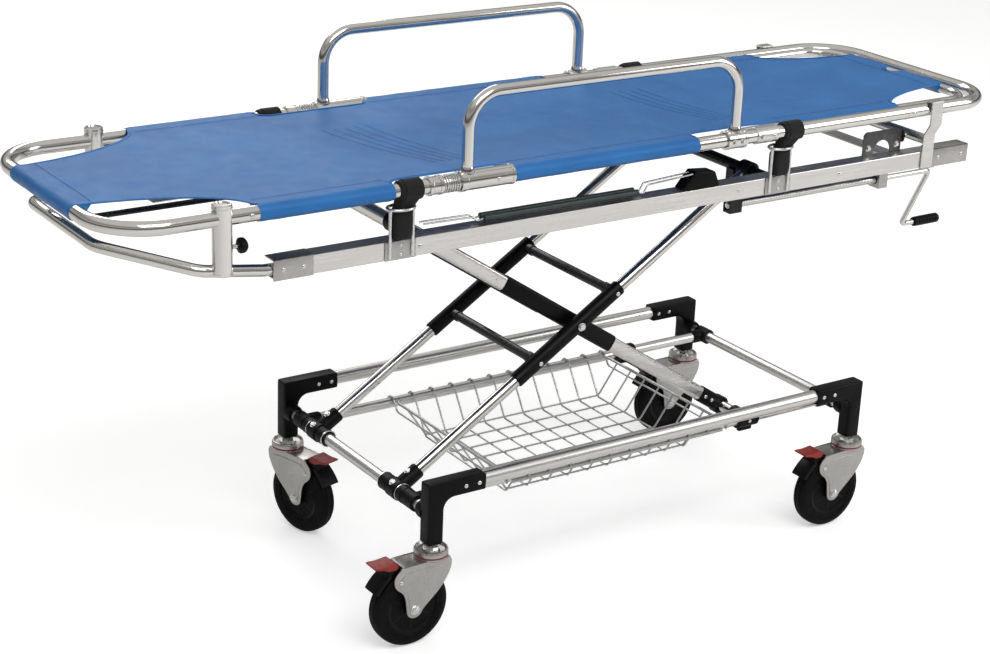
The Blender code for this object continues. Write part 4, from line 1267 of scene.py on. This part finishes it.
def knob_shapes(centre, axis, lobes):
    """Moulded hand knob: lobed rim, domed face and a boss towards its screw."""
    axis, side, up = basis(axis)
    depth = 0.16 if lobes > 2 else 0.34
    rings = []
    for along, share in KNOB_SECTIONS:
        ring = []
        for turn in angles(lobes * 16):
            radius = KNOB_R * share * (1 - depth * (1 - math.cos(lobes * turn)) / 2 * share)
            ring.append(centre + axis * along + (side * math.cos(turn) + up * math.sin(turn)) * radius)
        rings.append(ring)
    return [bridged(rings)]


def build_knobs():
    """A wing knob and a star knob on each side; they face the head and the foot."""
    for side in SIDES:
        for kind, facing, lobes in (("wing", 1, 3), ("star", -1, 6)):
            node = f"{kind}_knob_{side}"
            low, high = cad_box(node)
            face = high.x - 0.013 if facing > 0 else low.x + 0.013
            spot = Vector((face, middle(node).y, middle(node).z))
            shapes = knob_shapes(spot, (facing, 0, 0), lobes)
            piece(f"{kind}_grip_{side}", node, "black_plastic", shapes, [node])
            stud = turned(KNOB_STUD, spot, (facing, 0, 0), 20)
            piece(f"{kind}_stud_{side}", node, "bright_zinc", [stud])


# ---------------------------------------------------------------- stretcher

GUARD_R = 0.0105
GUARD_BEND = 0.060
GUARD_FEET = (-0.306, 0.273)
GUARD_BOLTS = (0.263, 0.282)
GUARD_RIVET = -0.252
GUARD_FLARE = ((0, 0.0125), (0.004, 0.0122), (0.009, GUARD_R + 0.0004), (0.010, GUARD_R))
# Rings of the guardrail's sleeves as (start, stop, radius)
GUARD_RINGS = (
    (-0.324, -0.312, 0.0182), (-0.312, -0.222, 0.0172), (-0.222, -0.216, 0.0179),
    (0.250, 0.257, 0.0180), (0.257, 0.288, 0.0173), (0.288, 0.295, 0.0180),
)
COLLAR_R = 0.0168
SLEEVE_GAP = 0.0006
FITTING_R = 0.0156


def pole_sleeves(y, rings):
    """Rings that slide on a pole, from (start, stop, outer radius)."""
    shapes = []
    for start, stop, outer in rings:
        spot = ((start + stop) / 2, y, POLE_Z)
        shapes.append(collar(spot, ALONG, stop - start, outer, POLE_R + SLEEVE_GAP))
    return shapes


def end_path(out):
    """Loop of tube that joins the poles at one end; out is -1 at the foot and 1 at the head."""
    start, end = out * (POLE_END + 0.0004), out * BED_END
    corners = ((start, -POLE_Y), (end, -POLE_Y), (end, POLE_Y), (start, POLE_Y))
    return rounded([(x, y, POLE_Z) for x, y in corners], 0.100, 16)


def build_poles():
    bolts, seams = [], []
    for side, sign in SIDES.items():
        y, out = sign * POLE_Y, (0, sign, 0)
        ends = [(-POLE_END, y, POLE_Z), (POLE_END, y, POLE_Z)]
        rod(f"pole_{side}", "chassis", "polished", ends, POLE_R, f"side_pole_{side}", 40)
        low, high = cad_box(f"pole_joint_{side}")
        fitting = collar(((low.x + high.x) / 2, y, POLE_Z), ALONG, high.x - low.x, FITTING_R, POLE_R)
        piece(f"pole_fitting_{side}", "chassis", "satin", [fitting], [f"pole_joint_{side}"])
        face = y + sign * (FITTING_R - 0.0002)
        bolts.append(hexagon((low.x + 0.010, face, POLE_Z), out, 0.0085, 0.0034))
        bolts += rivets([(high.x - 0.012, face, POLE_Z)], out, 0.0040)
        for end in (-1, 1):
            bolts += rivets([(end * (POLE_END + 0.014), y + sign * (POLE_R - 0.0005), POLE_Z)], out, 0.0045)
            spot = (end * POLE_END, y, POLE_Z)
            seams.append(collar(spot, ALONG, 0.0012, POLE_R + 0.0005, POLE_R - 0.001))
    for end in ENDS:
        loop = tube(end_path(-INWARD[end]), POLE_R, 40)
        piece(f"loop_{end}", "chassis", "polished", [loop], [f"pole_end_{end}"])
    piece("pole_bolts", "chassis", "bright_zinc", bolts)
    piece("pole_seams", "chassis", "satin", seams)


def build_guardrails():
    foot, top = POLE_Z + 0.015, GUARD_TOP - GUARD_R
    near, far = GUARD_FEET
    for side, sign in SIDES.items():
        y, out, body = sign * POLE_Y, (0, sign, 0), f"guardrail_{side}"
        corners = [(near, y, foot), (near, y, top), (far, y, top), (far, y, foot)]
        shapes = [tube(rounded(corners, GUARD_BEND, 14), GUARD_R, 32)] + pole_sleeves(y, GUARD_RINGS)
        shapes += [turned(GUARD_FLARE, (x, y, foot), UP, 32) for x in GUARD_FEET]
        piece(f"guard_{side}", body, "polished", shapes, [body])
        bolts = [hexagon((x, y + sign * 0.0172, POLE_Z - 0.002), out, 0.0080, 0.0030) for x in GUARD_BOLTS]
        bolts += rivets([(GUARD_RIVET, y + sign * 0.0170, POLE_Z)], out, 0.0038)
        piece(f"guard_bolts_{side}", body, "bright_zinc", bolts)
        body = f"lock_collar_{side}"
        low, high = (spot.x for spot in cad_box(body))
        lips = ((low, low + 0.006, COLLAR_R), (low + 0.006, high - 0.006, COLLAR_R - 0.0012))
        lips += ((high - 0.006, high, COLLAR_R),)
        piece(f"collar_{side}", body, "polished", pole_sleeves(y, lips), [body])
        lock_spring(side, y, high)


def lock_spring(side, y, start):
    """Coil between the sliding collar and the guardrail's foot."""
    stop = cad_box(f"guardrail_{side}")[0].x
    shape = coil((start + 0.001, y, POLE_Z), (stop - 0.001, y, POLE_Z), POLE_R + 0.0018, 0.0013, 7)
    spring = show(f"collar_spring_{side}", mesh_of("spring", [shape], "bright_zinc"))
    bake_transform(spring)


def build_backrest():
    start = BACK_PIVOT_X - BACK_OVERHANG
    corners = [(start, -BACK_Y, POLE_Z), (BACK_END, -BACK_Y, POLE_Z)]
    corners += [(BACK_END, BACK_Y, POLE_Z), (start, BACK_Y, POLE_Z)]
    shape = tube(rounded(corners, 0.062, 14), BACK_R, 32)
    piece("backrest_tube", "backrest", "polished", [shape], ["backrest_frame"])


# ---------------------------------------------------------------- sling sheet

CLOTH = 0.0017
HEM_R = POLE_R + CLOTH
BACK_HEM_R = BACK_R + CLOTH
FOOT_HEM_HALF = 0.120
HEAD_HEM_HALF = 0.135
# Where the side hems start and stop: two on each pole and one on each side of the backrest
FOOT_START, FOOT_STOP = -0.700, -0.452
HIP_START, HIP_STOP = -0.224, 0.185
BACK_START, BACK_STOP = 0.402, 0.700
# Half width of the sheet in the cutouts before and after the hips
CUT_Y = (0.2220, 0.2150)
SEAM_REACH = 0.027
# How far the curve at each end of a cutout runs, before the hips and elsewhere
CUT_LEAD_FOOT, CUT_LEAD = 0.030, 0.016
# Depth of the sag between the tubes, of the puckers and creases, and of the droop at a free edge
SAG, PUCKER, CREASE, DROOP = 0.0065, 0.0011, 0.0006, 0.0022
# Hand slot at the head end, and where the rows of the sheet start to bend round it
SLOT_HALF, SLOT_DEPTH, SLOT_LEAD = 0.020, 0.036, 0.065
# The stretch over which the sheet goes down from the poles to the thinner tube of the backrest
STEP_START, STEP_LENGTH = 0.30, 0.12
# The sheet's columns and rows; at a crowding of 1 the rows would close up at the sides as a sine does
GRID = (380, 44)
ROW_CROWDING = 0.92
# Heights from the sheet's top: its grid and edgings lie lower, the stitches a little higher
SHEET_DROP = CLOTH * 0.4
STITCH_RISE = CLOTH * 0.1
# Flat edging of the free edges: inset from the edge, half thickness and half width
EDGING_INSET, EDGING_HALF, EDGING_WIDE = 0.0022, 0.00145, 0.0032
# Quilting: where every line starts across the sheet, and how far it runs
FAN_Y, FAN_STEPS = (-0.165, 0.262), 28
# Near end and far end of each fan's first line, and how many lines it has
FANS = ((-0.318, -0.390, 5), (0.300, 0.246, 4))
BATTEN_X, BATTEN_Y, BATTEN_Z = (-BED_END + 0.016, -0.640), (0.090, 0.110), (0.8185, 0.8225)


def corner_cut(share):
    """0 at the side hem, 1 at the crossbar: the concave free edge between them."""
    share = min(max(share, 0.0), 1.0)
    return (1 - (1 - share) ** 1.6) ** 0.5


def quarter(share):
    """Quarter ellipse that rises from 0 to 1."""
    return math.sqrt(1 - (1 - share) ** 2)


def half_width(x):
    """Distance from the middle of the sheet to its edge."""
    if x < FOOT_START:
        share = (FOOT_START - x) / (FOOT_START + BED_END)
        return POLE_Y - (POLE_Y - FOOT_HEM_HALF) * corner_cut(share)
    if x > BACK_STOP:
        share = (x - BACK_STOP) / (BACK_END - BACK_STOP)
        return BACK_Y - (BACK_Y - HEAD_HEM_HALF) * corner_cut(share)
    if FOOT_STOP < x < HIP_START:
        share = min((x - FOOT_STOP) / CUT_LEAD_FOOT, (HIP_START - x) / CUT_LEAD, 1.0)
        return POLE_Y - (POLE_Y - CUT_Y[0]) * quarter(share)
    if x <= HIP_STOP:
        return POLE_Y
    if x < BACK_START:
        share = min((x - HIP_STOP) / CUT_LEAD, 1.0)
        return POLE_Y - (POLE_Y - CUT_Y[1]) * quarter(share)
    return BACK_Y


def edge_height(x):
    """Height of the sheet where it runs over the tubes; the backrest's tube is thinner."""
    share = ease((x - STEP_START) / STEP_LENGTH)
    return POLE_Z + HEM_R * (1 - share) + BACK_HEM_R * share


def sheet_height(x, y):
    """Top of the sheet: it sags between the tubes and is puckered near them."""
    width = half_width(x)
    across = min(abs(y) / width, 1.0)
    from_ends = min(x + BED_END, BACK_END - x)
    sag = SAG * (1 - across ** 2) * ease(from_ends / 0.30)
    pucker = PUCKER * noise.noise(Vector((x * 16, y * 6, 3.0))) * ease(from_ends / 0.06)
    creases = CREASE * math.sin(x * 120 + 4 * noise.noise(Vector((x * 5, 0, 8)))) * across ** 6
    free = abs(width - (POLE_Y if x < HIP_STOP else BACK_Y)) > 0.004
    droop = -DROOP * free * across ** 8
    return edge_height(x) - sag + (pucker + creases) * (1 - across ** 12) + droop


def on_sheet(x, y, rise):
    """The point of the sheet over x and y, that much above its top."""
    return Vector((x, y, sheet_height(x, y) + rise))


def head_edge(x, y):
    """Pulls the last stretch of the sheet back round the hand slot in the middle of the head hem."""
    start = BACK_END - SLOT_LEAD
    if x <= start or abs(y) >= SLOT_HALF:
        return x
    end = BACK_END - SLOT_DEPTH * math.sqrt(1 - (y / SLOT_HALF) ** 2)
    return start + (x - start) * (end - start) / (BACK_END - start)


def sheet_grid():
    """The whole sheet as one grid of faces, thickened."""
    columns, rows = GRID
    bm = bmesh.new()
    grid = []
    for i in range(columns + 1):
        x = -BED_END + (BACK_END + BED_END) * i / columns
        line = []
        for j in range(rows + 1):
            turn = math.pi / 2 * (2 * j / rows - 1) * ROW_CROWDING
            share = math.sin(turn) / math.sin(math.pi / 2 * ROW_CROWDING)
            y = share * (half_width(x) - 0.0006)
            line.append(bm.verts.new(on_sheet(head_edge(x, y), y, -SHEET_DROP)))
        grid.append(line)
    for a, b in zip(grid, grid[1:]):
        for j in range(rows):
            bm.faces.new((a[j], b[j], b[j + 1], a[j + 1]))
    bmesh.ops.recalc_face_normals(bm, faces=bm.faces)
    if sum(face.normal.z for face in bm.faces) < 0:
        bmesh.ops.reverse_faces(bm, faces=bm.faces)
    bmesh.ops.solidify(bm, geom=bm.faces[:], thickness=CLOTH)
    return bm


def fold(name, shapes, material="fabric", stands_for=()):
    """A piece of the sheet that rides on no body: its place is baked into its mesh."""
    made = show(name, mesh_of(name, shapes, material, 60))
    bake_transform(made)
    if stands_for:
        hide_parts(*stands_for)


def hem(start, stop, out, radius, seed):
    """Sleeve of cloth round a tube from start to stop, brought together at a seam under the sheet.

    start and stop are (x, y) at the height of the poles; out points away from the sheet.
    """
    start, stop, out = Vector((*start, POLE_Z)), Vector((*stop, POLE_Z)), Vector(out)
    length = (stop - start).length
    steps = max(8, round(length / 0.008))
    reach, height = SEAM_REACH, radius - 0.0028
    tangent = math.atan2(height, -reach) + math.acos(radius / math.hypot(reach, height))
    sweep = [math.pi / 2 + (tangent - 2 * math.pi - math.pi / 2) * i / 30 for i in range(31)]
    rings = []
    for i in range(steps + 1):
        share = i / steps
        spot = start.lerp(stop, share)
        from_end = min(share, 1 - share) * length
        roll = 0.0007 * math.exp(-((from_end - 0.004) / 0.004) ** 2) - 0.0009 * math.exp(-from_end / 0.0012)
        ring = []
        for angle in sweep:
            ripple = 0.0005 * noise.noise(Vector((share * length * 30, angle * 1.5, seed)))
            r = radius + roll + ripple
            ring.append(spot + out * math.cos(angle) * r + UP * math.sin(angle) * r)
        ring.append(spot - out * reach + UP * height)
        rings.append(ring)
    return bridged(rings)


def steps_between(start, stop, count):
    """Evenly spaced places from start to stop, count + 1 of them."""
    return [start + (stop - start) * i / count for i in range(count + 1)]


def binding(start, stop, sign, steps):
    """Flat edging along a free edge of the sheet, between two places."""
    xs = steps_between(start, stop, steps)
    path = [on_sheet(x, sign * (half_width(x) - EDGING_INSET), -SHEET_DROP) for x in xs]
    return tube(path, EDGING_HALF, 10, wide=EDGING_WIDE, wide_axis=ACROSS)


def stitched(paths, pitch=0.0056, length=0.0036, radius=0.00042):
    """Rows of stitches that lie along the paths."""
    shapes = []
    for path in paths:
        carried = 0.0
        for before, after in zip(path, path[1:]):
            run = after - before
            ahead = run.normalized()
            while carried < run.length:
                spot = before + ahead * carried + Vector((0, 0, 0.00025))
                shapes.append(tube([spot - ahead * length / 2, spot, spot + ahead * length / 2], radius, 5))
                carried += pitch
            carried -= run.length
    return shapes


def seam_paths():
    """Where the hems are sewn: along both sides and beside both crossbars."""
    sides = (
        (FOOT_START + 0.006, FOOT_STOP - 0.002, POLE_Y), (HIP_START + 0.002, HIP_STOP - 0.002, POLE_Y),
        (BACK_START + 0.004, BACK_STOP - 0.006, BACK_Y),
    )
    paths = []
    for sign in SIGNS:
        for start, stop, side in sides:
            y = sign * (side - SEAM_REACH + 0.001)
            xs = steps_between(start, stop, round((stop - start) / 0.02))
            paths.append([on_sheet(x, y, STITCH_RISE) for x in xs])
    for x, half in ((-BED_END + SEAM_REACH, FOOT_HEM_HALF), (BACK_END - SEAM_REACH - 0.010, HEAD_HEM_HALF)):
        ys = [half * (0.94 * i / 12 * 2 - 0.94) for i in range(13)]
        paths.append([on_sheet(x, y, STITCH_RISE) for y in ys])
    return paths


def fan_paths():
    """Two sets of quilting lines that fan out from the near side, at the knees and at the waist."""
    paths = []
    for near_x, far_x, count in FANS:
        for line in range(count):
            path = []
            for i in range(FAN_STEPS + 1):
                share = i / FAN_STEPS
                bow = 0.007 * math.sin(math.pi * share)
                x = near_x + (far_x - near_x) * share + line * (0.017 + 0.005 * share) - bow
                path.append(on_sheet(x, FAN_Y[0] + FAN_Y[1] * share, STITCH_RISE))
            paths.append(path)
    return paths


def build_hems():
    seat, back = [], []
    for sign in SIGNS:
        y, out = sign * POLE_Y, (0, sign, 0)
        seat.append(hem((FOOT_START, y), (FOOT_STOP, y), out, HEM_R, 1 + sign))
        seat.append(hem((HIP_START, y), (HIP_STOP, y), out, HEM_R, 4 + sign))
        y = sign * BACK_Y
        back.append(hem((BACK_START, y), (BACK_STOP, y), out, BACK_HEM_R, 9 + sign))
        near, far = sorted((sign * SLOT_HALF, sign * HEAD_HEM_HALF))
        back.append(hem((BACK_END, near), (BACK_END, far), (1, 0, 0), BACK_HEM_R, 12 + sign))
    seat.append(hem((-BED_END, -FOOT_HEM_HALF), (-BED_END, FOOT_HEM_HALF), (-1, 0, 0), HEM_R, 7))
    piece("seat_hems", "chassis", "fabric", seat, crease=60)
    piece("back_hems", "backrest", "fabric", back, crease=60)


def build_sheet():
    fold("sling_sheet", [sheet_grid()], stands_for=["sheet_seat", "sheet_back"])
    free_edges = (
        (-BED_END + 0.012, FOOT_START + 0.001, 60), (FOOT_STOP - 0.001, HIP_START + 0.001, 50),
        (HIP_STOP - 0.001, BACK_START + 0.001, 50), (BACK_STOP - 0.001, BACK_END - 0.010, 60),
    )
    bindings = [binding(start, stop, sign, steps) for sign in SIGNS for start, stop, steps in free_edges]
    fold("edge_bindings", bindings)
    fold("hem_stitches", stitched(seam_paths()), "thread")
    fold("quilting", stitched(fan_paths(), 0.0046, 0.0038, 0.0003), "thread")
    build_hems()
    bars = [plate(sign, BATTEN_X, BATTEN_Y, BATTEN_Z, 0.0014) for sign in SIGNS]
    piece("foot_battens", "chassis", "black_paint", bars)


# ---------------------------------------------------------------- floor, light and camera

CAMERA_AT = Vector((-2.1616, -3.0535, 1.8577))
CAMERA_YAW = math.radians(-34.4376)
CAMERA_DOWN = math.radians(20.8291)
CAMERA_ROLL = math.radians(2.3582)
LENS_MM = 76.19
# Light that the floor gives off, seen by the camera only
FLOOR_LIFT = 0.42
# Area lamps: place, target, width, height and watts
LAMPS = {
    "key": ((-0.9, -3.5, 4.4), (0, 0, 0.5), 3.4, 2.2, 105),
    "fill": ((3.6, -2.6, 2.4), (0, 0, 0.5), 2.0, 2.4, 52),
    "back": ((0.5, 4.2, 3.4), (0, 0, 0.6), 3.6, 1.6, 55),
}
# Greys of the surroundings that the metal mirrors, from straight down (0) to straight up (1)
SKY = ((0.0, 0.36), (0.47, 0.32), (0.505, 0.06), (0.56, 0.09), (0.63, 0.42), (0.74, 0.24), (0.86, 0.60))


def build_floor():
    mesh = bpy.data.meshes.new("floor")
    shape = bmesh.new()
    bmesh.ops.create_grid(shape, x_segments=1, y_segments=1, size=30)
    shape.to_mesh(mesh)
    made = Recipe("pale_floor", (0.86, 0.86, 0.86), 0.85)
    made.tones((0.8, 3), (0.88, 0.88, 0.88), (0.85, 0.85, 0.85))
    made.relief((60, 3), 0.0005, 0.2)
    made.set("Emission Color", (1, 1, 1, 1))
    made.set("Emission Strength", made.times(made.camera_ray(), FLOOR_LIFT))
    mesh.materials.append(made.material)
    floor = bpy.data.objects.new("floor", mesh)
    bpy.context.scene.collection.objects.link(floor)


def build_world():
    """White to the camera; to the metal, a studio with a bright ceiling and a darker band at eye level."""
    world = bpy.data.worlds.new("studio")
    world.use_nodes = True
    bpy.context.scene.world = world
    nodes = Nodes(world.node_tree)
    height = nodes.spread(nodes.height(nodes.coordinates("Generated")), 0, 1, -1, 1)
    sky = nodes.node("ShaderNodeValToRGB", "Color", {"Fac": height})
    elements = sky.node.color_ramp.elements
    while len(elements) < len(SKY):
        elements.new(0.5)
    for element, (at, grey) in zip(elements, SKY):
        element.position = at
        element.color = (grey, grey * 0.99, grey * 0.97, 1)
    back = world.node_tree.nodes["Background"]
    nodes.plug(nodes.blend(nodes.camera_ray(), sky, (1, 1, 1)), back.inputs["Color"])
    back.inputs["Strength"].default_value = 1.0


def lamp(name, spot, target, width, height, watts):
    data = bpy.data.lights.new(name, "AREA")
    data.shape = "RECTANGLE"
    data.size, data.size_y = width, height
    data.energy = watts
    made = bpy.data.objects.new(name, data)
    bpy.context.scene.collection.objects.link(made)
    made.location = spot
    made.rotation_euler = (Vector(target) - Vector(spot)).to_track_quat("-Z", "Y").to_euler()


def build_camera():
    data = bpy.data.cameras.new("camera")
    data.lens = LENS_MM
    data.sensor_width = 36
    data.clip_end = 100
    camera = bpy.data.objects.new("camera", data)
    bpy.context.scene.collection.objects.link(camera)
    turn = Matrix.Rotation(CAMERA_YAW, 4, "Z")
    tilt = Matrix.Rotation(math.pi / 2 - CAMERA_DOWN, 4, "X")
    roll = Matrix.Rotation(CAMERA_ROLL, 4, "Z")
    camera.matrix_world = Matrix.Translation(ORIGIN + CAMERA_AT) @ turn @ tilt @ roll
    bpy.context.scene.camera = camera
    bpy.context.scene.view_settings.view_transform = "Standard"


build_base()
build_basket()
build_casters()
build_outer_legs()
build_inner_legs()
build_sliders()
build_rails()
build_ratchet_plates()
build_bumper()
build_strap_brackets()
build_tension_springs()
build_crank()
build_knobs()
build_poles()
build_guardrails()
build_backrest()
build_sheet()
build_floor()
build_world()
for name, settings in LAMPS.items():
    lamp(name, *settings)
build_camera()
